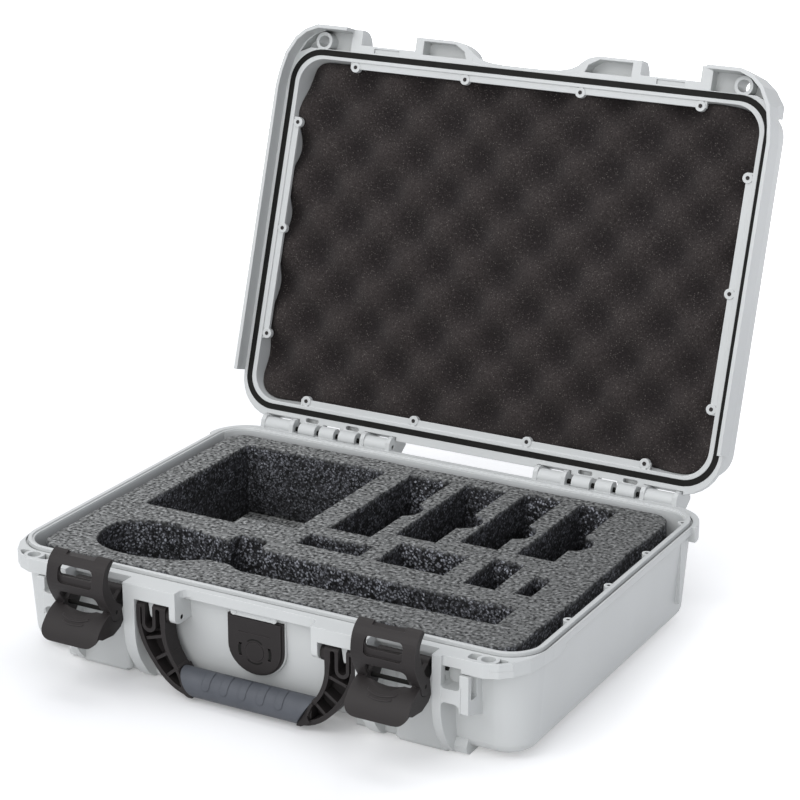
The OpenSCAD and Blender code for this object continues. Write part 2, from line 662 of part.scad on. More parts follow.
module handle_arm() {
  difference() {
    union() {
      intersection() {
        translate([0, -125.2, 0]) rotate([90, 0, 0]) linear_extrude(11.6) polygon(concat(arm_outer(), arm_inner()));
        union() {
          translate([0, -140, -70]) cube([100, 20, 70 + handle_z]);
          xrod(0, 100, handle_y, handle_z, hub_r);
        }
      }
      xrod(49.6, handle_w - 16, handle_y, handle_z, 5);
      xrod(handle_w - 1, handle_w + 3.5, handle_y, handle_z, 2.5);
      // thick end that carries the grip
      translate([0, -123.6, 0]) rotate([90, 0, 0]) linear_extrude(14.4)
        polygon([[34.9, -65], [44.5, -49.2], [46, -50], [45, -55], [43.2, -62.2], [38, -65]]);
    }
    // front pocket
    translate([0, -128.2, 0]) rotate([90, 0, 0]) linear_extrude(12) arm_pocket_2d();
    // inside of the snap loop, open above and in front
    translate([loop_x, -126.2, 0]) rotate([90, 0, 0]) linear_extrude(14) {
      translate([0, -25.2]) circle(r = 2.6, $fn = 40);
      translate([-2.6, -25.2]) square([5.2, 20]);
    }
    xrod(49, 55, handle_y, handle_z, 1.5 + fit);
  }
  // cross ribs of the pocket
  for (p = [[-12.4, -32.6, 17, 13.4], [-17, -43.2, 34, 13], [-23.8, -51.6, 41, 11.4]])
    translate([handle_w + p[0], 0, p[1]]) rotate([0, p[2], 0])
      translate([-p[3] / 2, -136, -0.9]) cube([p[3], 8.6, 1.8]);
}

module handle_frame() color(dark_c) at_lip() {
  both() handle_arm();
  xrod(-44, 44, grip_y, grip_z, 5);
}

function grip_ring(k) = [for (a = [0:8:352])
  [grip_y + k * cos(a) * (1 - 0.06 * sin(a)), grip_z + (k - 0.4) * sin(a)]];

module grip_core() {
  intersection() {
    xslab(-46, 46) polygon(grip_ring(8.9));
    translate([0, -100, 0]) rotate([90, 0, 0]) linear_extrude(60)
      polygon([[-44.6, -48.4], [44.6, -48.4], [33.6, -66.5], [-33.6, -66.5]]);
  }
}

module handle_grip() color(slate_c) at_lip() difference() {
  union() {
    grip_core();
    // raised finger pads with rounded lower ends
    intersection() {
      xslab(-30, 30) polygon(grip_ring(9.35));
      translate([0, grip_y, 0]) rotate([90, 0, 0]) linear_extrude(20)
        for (x = [-24.4:12.2:24.4]) translate([x, grip_z]) {
          translate([0, 3]) circle(r = 2.6, $fn = 28);
          translate([-2.6, 3]) square([5.2, 12]);
        }
    }
  }
  xrod(-50, 50, grip_y, grip_z, 5.04);
}

module handle_pin_right() color(steel_c) at_lip() xrod(45.4, 54.4, handle_y, handle_z, 1.5);
module handle_pin_left() color(steel_c) at_lip() xrod(-54.4, -45.4, handle_y, handle_z, 1.5);

// ---------- pressure valve ----------
module d_plate_2d(w, z_top, z_c) {
  polygon(concat([[-w, z_top], [w, z_top], [w, z_c]], arc([0, z_c], w, w * 0.9, 0, -180, 18), [[-w, z_c]]));
}

module valve_body() color(dark_c) at_lip() difference() {
  union() {
    translate([0, -122.2, 0]) rotate([90, 0, 0]) linear_extrude(1.6) d_plate_2d(18.5, -12.6, valve_z + 2);
    translate([0, -122.2, 0]) rotate([90, 0, 0]) linear_extrude(2.6) d_plate_2d(17.4, -13.4, valve_z + 2);
    translate([0, -123, valve_z]) rotate([-90, 0, 0]) cylinder(r = 5.7, h = 8.4, $fn = 40);
  }
  // bar line and ring marks, cut a little into the plate
  translate([-11, -126, -22.2]) cube([22, 1.5, 0.5]);
  translate([0, -124.5, valve_z]) rotate([90, 0, 0]) linear_extrude(2) intersection() {
    difference() {
      circle(r = 7.6, $fn = 60);
      circle(r = 7.1, $fn = 60);
    }
    translate([-5, -9]) square([10, 18]);
  }
  // vent slots beside the cap
  for (s = [-1, 1]) translate([0, -123.4, valve_z]) rotate([90, 0, 0]) linear_extrude(3) intersection() {
    difference() {
      circle(r = 11.2, $fn = 48);
      circle(r = 9.4, $fn = 48);
    }
    translate([s * 10, 0]) square([8, 8], center = true);
  }
  // seat of the cap and the bore to the inside
  translate([0, -124.3, valve_z]) rotate([90, 0, 0]) cylinder(r = 6.1, h = 4, $fn = 40);
  translate([0, -126, valve_z]) rotate([-90, 0, 0]) cylinder(r = 2.4, h = 16, $fn = 32);
}

module valve_cap() color(dark_c) at_lip() translate([0, -124.36, valve_z]) rotate([90, 0, 0])
  cylinder(r = 5.9, h = 0.6, $fn = 40);

module valve_seal() color(dark_c) at_lip() translate([0, -120.95, valve_z]) rotate([90, 0, 0]) difference() {
  cylinder(r = 9, h = 1.2, $fn = 40);
  translate([0, 0, -1]) cylinder(r = 6.95, h = 4, $fn = 40);
}

base_shell();
lid_shell();
lid_seal();
base_foam();
base_foam_pad();
lid_foam();
hinge_pin_left();
hinge_pin_right();
latch_lever_left();
latch_lever_right();
latch_claw_left();
latch_claw_right();
lever_pin_left();
lever_pin_right();
claw_pin_left();
claw_pin_right();
handle_frame();
handle_grip();
handle_pin_left();
handle_pin_right();
valve_body();
valve_cap();
valve_seal();
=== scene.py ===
"""Hard microphone case, lid open: finishes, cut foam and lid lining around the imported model.

The model's own frame is kept: +X right, +Y back to the hinge, +Z up. Lengths are in metres, and
in millimetres only where a name ends in _mm or a comment says so.
"""

import logging
import math
from collections.abc import Mapping, Sequence
from dataclasses import dataclass
from enum import Enum
from typing import Any

import bmesh
import bpy
import numpy as np
from mathutils import Matrix, Vector
from mathutils.geometry import delaunay_2d_cdt
from numpy.typing import NDArray


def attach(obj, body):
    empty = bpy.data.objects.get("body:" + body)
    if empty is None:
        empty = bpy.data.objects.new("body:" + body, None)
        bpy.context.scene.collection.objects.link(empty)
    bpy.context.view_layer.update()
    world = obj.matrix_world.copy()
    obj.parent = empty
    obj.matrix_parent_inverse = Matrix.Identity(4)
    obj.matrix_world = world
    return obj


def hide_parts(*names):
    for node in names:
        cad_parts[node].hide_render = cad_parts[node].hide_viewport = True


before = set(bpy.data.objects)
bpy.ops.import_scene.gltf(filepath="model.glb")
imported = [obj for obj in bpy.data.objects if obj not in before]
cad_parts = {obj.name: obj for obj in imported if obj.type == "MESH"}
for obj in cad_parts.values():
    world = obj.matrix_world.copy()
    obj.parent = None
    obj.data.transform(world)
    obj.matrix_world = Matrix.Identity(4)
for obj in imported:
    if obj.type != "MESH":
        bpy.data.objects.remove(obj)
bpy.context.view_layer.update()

LOG = logging.getLogger("case")
MM = 0.001
LIP = 68.0 * MM  # height of the rim at which base and lid part
Array = NDArray[np.float64]
Faces = NDArray[np.int64]
# the "cut" value is a depth share, from which the foams' finishes paint shade
Patch = tuple[Array, Faces, Array]  # points, faces and each point's "cut" value
Span = tuple[float, float]
Triple = tuple[float, float, float]
Colour = tuple[float, float, float, float]
Node = bpy.types.Node
Socket = bpy.types.NodeSocket
Tree = bpy.types.NodeTree


class Slot(str, Enum):
    """Material slots of the record."""

    SHELL = "grey_shell"
    HARDWARE = "charcoal_plastic"
    GRIP = "slate_grip"
    SEAL = "black_seal"
    BASE_FOAM = "speckled_foam"
    LID_FOAM = "dark_foam"
    PIN = "steel_pin"


# ---- shader helpers


NOISE_SPAN = (0.3, 0.7)  # most values of a noise lie between these
# the painted edge highlight of mouldings grows between these cosines
EDGE_TURN = (0.995, 0.86)  # cosine of a rounded normal to its face: still flat, full edge
BEVEL_SAMPLES = 6
GROOVE_SAMPLES = 8


def linear(hex_code: str) -> Colour:
    """Turns an sRGB hex colour into the linear values that shaders use.

    Args:
        hex_code: Colour as "#rrggbb".

    Returns:
        Linear red, green, blue and an alpha of one.
    """
    srgb = np.array([int(hex_code[i : i + 2], 16) for i in (1, 3, 5)]) / 255
    values = np.where(srgb <= 0.04045, srgb / 12.92, ((srgb + 0.055) / 1.055) ** 2.4)
    return (*values.tolist(), 1.0)


def darker(hex_code: str, share: float) -> Colour:
    """Linear values of a hex colour with that share of its light taken away."""
    return (*(value * (1 - share) for value in linear(hex_code)[:3]), 1.0)


def per_metre(size_mm: float) -> float:
    """Texture scale that gives features of that size in millimetres."""
    return 1.0 / (size_mm * MM)


def feed(tree: Tree, node: Node, inputs: Mapping[Any, Any]) -> None:
    """Feeds a node.

    Args:
        tree: Its tree.
        node: The node.
        inputs: Input name or number to a value, or to the socket that feeds it.
    """
    for name, value in inputs.items():
        if isinstance(value, Socket):
            tree.links.new(value, node.inputs[name])
        else:
            node.inputs[name].default_value = value


def add(tree: Tree, kind: str, inputs: Mapping[Any, Any] | None = None, **settings: Any) -> Node:
    """Adds a shader node, sets it and feeds it.

    Args:
        tree: Node tree that takes the node.
        kind: Type name of the node.
        inputs: What feeds it.
        settings: Attributes of the node.

    Returns:
        The new node.
    """
    node = tree.nodes.new(kind)
    for name, value in settings.items():
        setattr(node, name, value)
    feed(tree, node, inputs or {})
    return node


def blend(tree: Tree, amount: Any, low: Any, high: Any) -> Socket:
    """Mixes two colours by a factor socket or number and returns the colour socket."""
    mix = add(tree, "ShaderNodeMix", {"Factor": amount, 6: low, 7: high}, data_type="RGBA")
    return mix.outputs[2]


def lay(tree: Tree, base: str, *coats: tuple[Socket, str]) -> Socket:
    """Lays coats, each an amount and a hex colour, over a hex colour."""
    colour: Any = linear(base)
    for amount, coat in coats:
        colour = blend(tree, amount, colour, linear(coat))
    return colour


def remap(tree: Tree, value: Any, low: float, high: float, to_low: float = 0.0,
          to_high: float = 1.0) -> Socket:
    """Maps a value from one range to another, clamped, and returns the result socket."""
    return add(tree, "ShaderNodeMapRange", {
        "Value": value, "From Min": low, "From Max": high, "To Min": to_low,
        "To Max": to_high}).outputs["Result"]


def uneven(tree: Tree, noise_value: Socket, middle: float, swing: float) -> Socket:
    """Spreads a noise's values to either side of a middle one and returns the result socket."""
    return remap(tree, noise_value, *NOISE_SPAN, middle - swing, middle + swing)


def calculate(tree: Tree, operation: str, left: Any, right: Any) -> Socket:
    """Joins two sockets or numbers by a Math operation and returns the result socket."""
    return add(tree, "ShaderNodeMath", {0: left, 1: right}, operation=operation).outputs["Value"]


def place_of(tree: Tree) -> Socket:
    """Returns the socket of a point's place in its object's frame."""
    return add(tree, "ShaderNodeTexCoord").outputs["Object"]


def noise(tree: Tree, place: Socket, size_mm: float, detail: float, rough: float = 0.5) -> Socket:
    """Adds a noise with features of that size and returns its value socket."""
    return add(tree, "ShaderNodeTexNoise", {
        "Vector": place, "Scale": per_metre(size_mm), "Detail": detail,
        "Roughness": rough}).outputs["Fac"]


def cells_of(tree: Tree, place: Socket, size_mm: float) -> Any:
    """Adds cells of that size and returns their outputs: distance to the middle, and colour."""
    return add(tree, "ShaderNodeTexVoronoi", {"Vector": place, "Scale": per_metre(size_mm)}).outputs


def rounded(tree: Tree, radius_mm: float) -> Socket:
    """Adds the normals of a surface whose edges are rounded and returns their socket."""
    return add(tree, "ShaderNodeBevel", {"Radius": radius_mm * MM},
               samples=BEVEL_SAMPLES).outputs["Normal"]


def emboss(tree: Tree, shader: Node, height: Socket, strength: float, depth_mm: float,
           normal: Socket | None = None) -> None:
    """Gives a shader a relief.

    Args:
        tree: The material's node tree.
        shader: Its Principled shader.
        height: Socket of the relief, from 0 to 1.
        strength: Share of it that shows.
        depth_mm: Its depth.
        normal: Socket of the normals under it, if not the plain ones.
    """
    inputs = {"Height": height, "Strength": strength, "Distance": depth_mm * MM}
    if normal is not None:
        inputs["Normal"] = normal
    feed(tree, shader, {"Normal": add(tree, "ShaderNodeBump", inputs).outputs["Normal"]})


# ---- finishes


@dataclass(frozen=True)
class Finish:
    """A finish is built once as a material and kept by its name."""

    name: str

    def material(self) -> bpy.types.Material:
        """Returns the finish's material, made on first use."""
        made = bpy.data.materials.get(self.name)
        if made is None:
            made = bpy.data.materials.new(self.name)
            made.use_nodes = True
            tree = made.node_tree
            self.build(tree, tree.nodes["Principled BSDF"])
        return made

    def build(self, tree: Tree, shader: Node) -> None:
        """Fills in the shader and what feeds it.

        Args:
            tree: The material's node tree.
            shader: Its Principled shader.
        """
        raise NotImplementedError


@dataclass(frozen=True)
class MouldedPlastic(Finish):
    """Injection-moulded plastic with a spark-eroded skin.

    The eye sees a soft satin sheen, edges rounded by the mould with a painted highlight
    along them, a faint cloudiness where the melt flowed, and painted shade in its grooves.
    """

    colour: str
    edge_highlight: str
    roughness: float
    grain_mm: float
    grain_depth_mm: float
    edge_mm: float
    cloud_mm: float = 70.0
    cloud_amount: float = 0.05
    gloss_swing: float = 0.05
    grain_strength: float = 0.6
    specular: float = 0.5
    ior: float = 1.5
    # painted shade in grooves and bores from local occlusion: its reach, darkness and fading range
    groove_mm: float = 2.5
    groove_shade: float = 0.8
    groove_range: Span = (0.14, 0.42)

    def build(self, tree: Tree, shader: Node) -> None:
        """Fills in the shader: flow clouds, fine grain, painted edge highlights and painted groove
        shade.
        """
        place = place_of(tree)
        cloud = noise(tree, place, self.cloud_mm, 2.0)
        grain = noise(tree, place, self.grain_mm, 3.0, 0.6)
        normal = rounded(tree, self.edge_mm)
        flat = add(tree, "ShaderNodeNewGeometry").outputs["Normal"]
        turn = add(tree, "ShaderNodeVectorMath", {0: normal, 1: flat}, operation="DOT_PRODUCT")
        # painted highlight: edges where the rounded normal turns away from the face are coloured
        # lighter
        edge = remap(tree, turn.outputs["Value"], *EDGE_TURN)
        clouded = darker(self.colour, self.cloud_amount)
        base = blend(tree, remap(tree, cloud, *NOISE_SPAN), clouded, linear(self.colour))
        base = blend(tree, edge, base, linear(self.edge_highlight))
        # painted shade: grooves and deep bores darken where little open air reaches them
        open_air = add(tree, "ShaderNodeAmbientOcclusion", {"Distance": self.groove_mm * MM},
                       samples=GROOVE_SAMPLES, only_local=True).outputs["AO"]
        painted_groove_shade = darker(self.colour, self.groove_shade)
        base = blend(tree, remap(tree, open_air, *self.groove_range), painted_groove_shade, base)
        feed(tree, shader, {"Base Color": base, "IOR": self.ior,
                            "Specular IOR Level": self.specular,
                            "Roughness": uneven(tree, grain, self.roughness, self.gloss_swing)})
        emboss(tree, shader, grain, self.grain_strength, self.grain_depth_mm, normal)


@dataclass(frozen=True)
class BeadFoam(Finish):
    """Closed-cell polyethylene foam made of fused beads and sliced flat.

    The sliced top is mid grey, with dark pits and pale flecks no larger than a grain of rice,
    and is painted a little darker towards the right, as shade. Walls that a blade has cut are
    painted nearly black as shade, with glints of torn cell skin: pale skin under a painted
    highlight, painted dimmer with depth as shade and brighter on walls that face the front as
    light.
    """

    top: str
    top_dark: str
    pit: str
    fleck: str
    # painted shade: wall and wall_pale are the foam's colours darkened as shade in the pockets
    wall: str
    wall_pale: str
    glint: str
    bead_mm: float
    pit_mm: float
    glint_mm: float
    # noise values at which beads lighten, pits open, flecks show and the cut walls pale
    bead_span: Span = (0.32, 0.68)
    pit_span: Span = (0.46, 0.35)
    fleck_span: Span = (0.58, 0.70)
    wall_span: Span = (0.45, 0.65)
    # painted shade: how much darker the top is painted towards the right, and from which X to which
    painted_right_shade: float = 0.3
    painted_right_shade_mm: Span = (-60.0, 150.0)
    # how far a glint's outline is bent, where it fades out, and how rare bright ones are
    ragged: float = 1.3
    glint_span: Span = (0.65, 0.2)
    rarity: float = 1.8
    # painted shade: the heights between which glints come up, and their share at the lower one
    painted_shade_heights_mm: Span = (10.0, 62.0)
    painted_shade_low: float = 0.15
    # painted light: the wall normal's Y at which glints are weakest and strongest, and the weakest
    # share
    painted_light_facing: Span = (0.3, -0.9)
    painted_light_low: float = 0.45
    relief: float = 0.6
    relief_mm: float = 0.8
    # roughness of the top and of the walls
    roughness: Span = (0.85, 0.6)
    specular: float = 0.25

    def glints(self, tree: Tree, place: Socket, height: Socket) -> Socket:
        """Share of glint on the walls: torn cell skin with a painted highlight, dimmed with depth
        as painted shade and brightened on walls that face the front as painted light.

        Args:
            tree: The material's node tree.
            place: Socket of the point's place.
            height: Socket of its height.

        Returns:
            Socket of the share, from 0 to 1.
        """
        bend = add(tree, "ShaderNodeTexNoise", {"Vector": place, "Scale": per_metre(self.glint_mm),
                                               "Detail": 1.0}).outputs["Color"]
        reach = self.ragged * self.glint_mm * MM
        push = add(tree, "ShaderNodeVectorMath", {0: bend, "Scale": reach}, operation="SCALE")
        bent = add(tree, "ShaderNodeVectorMath", {0: place, 1: push.outputs[0]}, operation="ADD")
        cells = cells_of(tree, bent.outputs["Vector"], self.glint_mm)
        luck = add(tree, "ShaderNodeSeparateColor", {"Color": cells["Color"]}).outputs["Green"]
        near = remap(tree, cells["Distance"], *self.glint_span)
        # painted shade: glints dim towards the pocket floor
        low, top = (level * MM for level in self.painted_shade_heights_mm)
        high = remap(tree, height, low, top, self.painted_shade_low, 1.0)
        # painted light: glints are brighter on walls that face the front
        normal = add(tree, "ShaderNodeTexCoord").outputs["Normal"]
        towards = add(tree, "ShaderNodeSeparateXYZ", {"Vector": normal}).outputs["Y"]
        painted_facing_light = remap(tree, towards, *self.painted_light_facing, self.painted_light_low, 1.0)
        shine = near
        for factor in (high, calculate(tree, "POWER", luck, self.rarity), painted_facing_light):
            shine = calculate(tree, "MULTIPLY", shine, factor)
        return shine

    def build(self, tree: Tree, shader: Node) -> None:
        """Fills in the shader: the sliced top, and the walls, painted dark as shade, where the
        attribute says cut.
        """
        place = place_of(tree)
        spot = add(tree, "ShaderNodeSeparateXYZ", {"Vector": place})
        # the "cut" attribute marks the walls and sets their painted shade from the face down
        cut = add(tree, "ShaderNodeAttribute", attribute_name="cut").outputs["Fac"]
        beads = noise(tree, place, self.bead_mm, 1.0, 0.6)
        pits = noise(tree, place, self.pit_mm, 1.0, 0.4)
        # painted shade: the top darkens towards the right
        start, end = (x * MM for x in self.painted_right_shade_mm)
        painted_right_shade = remap(tree, spot.outputs["X"], start, end, 0.0, self.painted_right_shade)
        face = lay(tree, self.top_dark, (remap(tree, beads, *self.bead_span), self.top),
                   (remap(tree, pits, *self.pit_span), self.pit),
                   (remap(tree, pits, *self.fleck_span), self.fleck), (painted_right_shade, self.pit))
        # painted shade: the walls are nearly black, with painted glints over them
        side = lay(tree, self.wall, (remap(tree, beads, *self.wall_span), self.wall_pale),
                   (self.glints(tree, place, spot.outputs["Z"]), self.glint))
        feed(tree, shader, {"Base Color": blend(tree, cut, face, side),
                            "Roughness": remap(tree, cut, 0.0, 1.0, *self.roughness),
                            "Specular IOR Level": self.specular})
        emboss(tree, shader, pits, self.relief, self.relief_mm)


@dataclass(frozen=True)
class OpenCellFoam(Finish):
    """Open-cell polyurethane foam, cut to an egg-crate face.

    The eye sees a dull charcoal nap with painted shade down in the hollows of the relief, and
    tiny sparks painted where a cell wall mirrors the light.
    """

    colour: str
    hollow: str
    # painted shade: the colour towards which the deepest hollows of the relief are darkened
    deep: str
    spark: str
    cell_mm: float
    spark_mm: float
    cell_span: Span = (0.35, 0.65)
    # painted highlight: distances in a cell and cell numbers between which sparks come up
    spark_span: Span = (0.42, 0.12)
    luck_span: Span = (0.6, 1.0)
    # painted shade: depths of the relief between which it darkens, and by how much
    painted_shade_span: Span = (0.2, 0.9)
    painted_shade_amount: float = 0.6
    relief: float = 0.5
    relief_mm: float = 0.5
    roughness: float = 0.95
    specular: float = 0.1
    sheen: float = 0.06
    sheen_roughness: float = 0.5

    def build(self, tree: Tree, shader: Node) -> None:
        """Fills in the shader: cells, painted shade in the hollows, sparse painted sparks and a
        soft sheen.
        """
        place = place_of(tree)
        cells = noise(tree, place, self.cell_mm, 2.0, 0.7)
        # painted highlight: sparse light sparks in the colour, where cell walls mirror the light
        grains = cells_of(tree, place, self.spark_mm)
        luck = add(tree, "ShaderNodeSeparateColor", {"Color": grains["Color"]}).outputs["Red"]
        spark = calculate(tree, "MULTIPLY", remap(tree, grains["Distance"], *self.spark_span),
                          remap(tree, luck, *self.luck_span))
        cut = add(tree, "ShaderNodeAttribute", attribute_name="cut").outputs["Fac"]
        # painted shade: the hollows of the relief darken by their depth
        sunk = remap(tree, cut, *self.painted_shade_span, 0.0, self.painted_shade_amount)
        body = lay(tree, self.hollow, (remap(tree, cells, *self.cell_span), self.colour),
                   (sunk, self.deep), (spark, self.spark))
        feed(tree, shader, {"Base Color": body, "Roughness": self.roughness,
                            "Specular IOR Level": self.specular, "Sheen Weight": self.sheen,
                            "Sheen Roughness": self.sheen_roughness})
        emboss(tree, shader, cells, self.relief, self.relief_mm)


@dataclass(frozen=True)
class Rubber(Finish):
    """Moulded or extruded rubber: dull, with a powdery bloom in patches."""

    colour: str
    bloom: str
    roughness: float
    grain_mm: float
    edge_mm: float = 0.3
    specular: float = 0.3
    patch_mm: float = 14.0
    patch_span: Span = (0.35, 0.75)
    grain_strength: float = 0.5
    grain_depth_mm: float = 0.05

    def build(self, tree: Tree, shader: Node) -> None:
        """Fills in the shader: patches of bloom, fine grain and rounded edges."""
        place = place_of(tree)
        patch = remap(tree, noise(tree, place, self.patch_mm, 4.0), *self.patch_span)
        grain = noise(tree, place, self.grain_mm, 2.0)
        feed(tree, shader, {"Base Color": lay(tree, self.colour, (patch, self.bloom)),
                            "Roughness": self.roughness, "Specular IOR Level": self.specular})
        emboss(tree, shader, grain, self.grain_strength, self.grain_depth_mm,
               rounded(tree, self.edge_mm))


@dataclass(frozen=True)
class DrawnSteel(Finish):
    """Cold-drawn steel rod, with die lines that run along the pin."""

    colour: str
    roughness: float
    streak: float = 0.08
    line_mm: float = 0.25
    stretch: Triple = (0.02, 1.0, 1.0)

    def build(self, tree: Tree, shader: Node) -> None:
        """Fills in the shader: metal with roughness streaked along X by the drawing die."""
        along = add(tree, "ShaderNodeMapping", {"Vector": place_of(tree), "Scale": self.stretch})
        lines = noise(tree, along.outputs["Vector"], self.line_mm, 1.0)
        feed(tree, shader, {"Base Color": linear(self.colour), "Metallic": 1.0,
                            "Roughness": uneven(tree, lines, self.roughness, self.streak)})


# The grain of the mouldings is finer in the tool, and is drawn this coarse so that it shows.
FINISHES: dict[Slot, Finish] = {
    # silver-grey copolymer resin, injection moulded in a finely sparked tool
    Slot.SHELL: MouldedPlastic(
        "moulded silver-grey resin", colour="#c5c7c6", edge_highlight="#d3d5d4", roughness=0.42,
        grain_mm=0.8, grain_depth_mm=0.03, edge_mm=0.7, groove_mm=3.5),
    # glass-filled nylon, moulded through and through in charcoal
    Slot.HARDWARE: MouldedPlastic(
        "moulded charcoal nylon", colour="#292626", edge_highlight="#3f3b3b", roughness=0.5,
        grain_mm=0.7, grain_depth_mm=0.04, edge_mm=0.5, cloud_mm=30.0, cloud_amount=0.1,
        specular=0.22, groove_mm=2.0, groove_range=(0.15, 0.75)),
    # thermoplastic elastomer moulded over the handle bar
    Slot.GRIP: Rubber(
        "overmoulded slate elastomer", colour="#4b4e54", bloom="#54575d", roughness=0.55,
        grain_mm=0.6, edge_mm=0.8),
    Slot.SEAL: Rubber(
        "extruded EPDM cord", colour="#0d0d0c", bloom="#161614", roughness=0.6, grain_mm=0.8,
        specular=0.15),
    Slot.BASE_FOAM: BeadFoam(
        "sliced polyethylene bead foam", top="#838483", top_dark="#5c5d5c", pit="#2b2b2c",
        fleck="#a2a3a2", wall="#111112", wall_pale="#2e2e31", glint="#c2c5ce", bead_mm=3.2,
        pit_mm=2.1, glint_mm=1.5),
    Slot.LID_FOAM: OpenCellFoam(
        "convoluted polyurethane foam", colour="#3d3837", hollow="#2a2625", deep="#1b1819",
        spark="#6d6864", cell_mm=1.1, spark_mm=1.0),
    Slot.PIN: DrawnSteel("blackened steel rod", colour="#232322", roughness=0.6),
}


def dress(piece: bpy.types.Object, slot: Slot) -> None:
    """Gives a piece or CAD node the finish of a slot, in every material slot it has."""
    material = FINISHES[slot].material()
    if not piece.material_slots:
        piece.data.materials.append(material)
    for holder in piece.material_slots:
        holder.material = material


def dress_nodes(names: Sequence[str], slot: Slot) -> None:
    """Gives nodes of the model the finish of a slot."""
    for name in names:
        dress(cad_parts[name], slot)
        LOG.info("dressed %s as %s", name, slot.value)


# ---- shape helpers


LATTICE = 64  # points of the noise lattice before it repeats
MITRE = 0.6  # least cosine of half a corner's turn that a mitre follows
CORNER_SHARE = 0.48  # most of a side that the rounding of one corner takes
SCATTER = 0.25  # how far a point strays from its grid, in steps
EDGE_GAP = 0.55  # its least distance from an edge point, in steps
BATCH = 400  # edge points compared at a time, to spare memory
SAME_POINT = 1e-5  # millimetres within which the triangulation joins points
WELD = 0.02 * MM  # distance within which a foam's patches are joined
FINE_WELD = 0.002 * MM  # the same for small mouldings


def value_noise(points: Array, pitch: float, seed: int) -> Array:
    """Smooth random field: random numbers on a cubic lattice, blended between the eight corners.

    Args:
        points: Places, one row each.
        pitch: Lattice spacing.
        seed: Seed of the lattice's numbers.

    Returns:
        One number from 0 to 1 for each place.
    """
    table = np.random.default_rng(seed).random((LATTICE, LATTICE, LATTICE))
    cell = np.floor(points / pitch)
    inside = points / pitch - cell
    inside = inside * inside * (3 - 2 * inside)
    cell = cell.astype(int)
    total = np.zeros(len(points))
    for corner in np.ndindex(2, 2, 2):
        weight = np.prod(np.where(corner, inside, 1 - inside), axis=1)
        total += weight * table[tuple(((cell + corner) % LATTICE).T)]
    return total


def raised(flat: Array, height: Array | float = 0.0) -> Array:
    """Gives flat points a height, one for all or one each."""
    return np.column_stack([flat, np.broadcast_to(height, len(flat))])


def loop_normals(loop: Array) -> Array:
    """Outward normals of a closed loop: the mean of the two sides' normals, longer at corners.

    Args:
        loop: Points in counter-clockwise order.

    Returns:
        One normal for each point.
    """
    step = np.roll(loop, -1, axis=0) - loop
    step /= np.linalg.norm(step, axis=1, keepdims=True)
    side = np.stack([step[:, 1], -step[:, 0]], axis=1)
    mean = side + np.roll(side, 1, axis=0)
    length = np.linalg.norm(mean, axis=1, keepdims=True)
    return mean / length / np.maximum(length / 2, MITRE)


def resample(loop: Array, pitch: float) -> Array:
    """Spreads points evenly along a closed loop and keeps its corners.

    Args:
        loop: Corners in order.
        pitch: Wanted spacing.

    Returns:
        Points of the loop, the corners among them.
    """
    ends = np.roll(loop, -1, axis=0)
    counts = np.maximum(1, np.round(np.linalg.norm(ends - loop, axis=1) / pitch)).astype(int)
    start = np.repeat(loop, counts, axis=0)
    run = np.repeat(ends - loop, counts, axis=0)
    share = np.concatenate([np.arange(n) / n for n in counts])
    return start + run * share[:, None]


def rounded_rectangle(half_x: float, half_y: float, radius: float, centre: Span = (0.0, 0.0),
                      steps: int = 12) -> Array:
    """Outline of a rectangle whose corners are quarter circles.

    Args:
        half_x: Half its size along X.
        half_y: Half its size along Y.
        radius: Radius of its corners.
        centre: Its middle.
        steps: Steps of each quarter circle.

    Returns:
        Points in counter-clockwise order.
    """
    turn = np.linspace(0, math.pi / 2, steps + 1)
    corners = []
    for quarter, (sx, sy) in enumerate(((1, 1), (-1, 1), (-1, -1), (1, -1))):
        angle = turn + quarter * math.pi / 2
        corners.append(np.stack([sx * (half_x - radius) + radius * np.cos(angle),
                                 sy * (half_y - radius) + radius * np.sin(angle)], axis=1))
    return np.concatenate(corners) + np.array(centre)


def soften(corners: Array, steps: int = 6) -> Array:
    """Rounds the corners of a loop, each with a quadratic curve from one of its sides to the other.

    Args:
        corners: Corners in order, as x, y and how far from the corner its curve starts.
        steps: Points of each curve.

    Returns:
        The rounded loop's points.
    """
    place, reach = corners[:, :2], corners[:, 2:]
    ends = []
    for shift in (1, -1):
        side = np.roll(place, shift, axis=0) - place
        length = np.linalg.norm(side, axis=1, keepdims=True)
        ends.append(place + side / length * np.minimum(reach, CORNER_SHARE * length))
    t = np.linspace(0, 1, steps)[None, :, None]
    start, end = (points[:, None] for points in ends)
    curve = (1 - t) ** 2 * start + 2 * t * (1 - t) * place[:, None] + t**2 * end
    return curve.reshape(-1, 2)


def within(points: Array, *loops: Array) -> NDArray[np.bool_]:
    """Says which points lie inside an outline and outside its holes.

    From them a ray to the right crosses the loops an odd number of times.

    Args:
        points: Flat points.
        loops: The outline and the holes, which don't overlap.

    Returns:
        True or false for each point.
    """
    y = points[:, 1:2]
    crossings = np.zeros(len(points), int)
    for a in loops:
        b = np.roll(a, -1, axis=0)
        spans = (a[:, 1] > y) != (b[:, 1] > y)
        # a level side is never crossed, so any rise but nought does for it
        rise = np.where(b[:, 1] == a[:, 1], 1e-12, b[:, 1] - a[:, 1])
        x = a[:, 0] + (y - a[:, 1]) * (b[:, 0] - a[:, 0]) / rise
        crossings += np.count_nonzero(spans & (points[:, 0:1] < x), axis=1)
    return crossings % 2 == 1


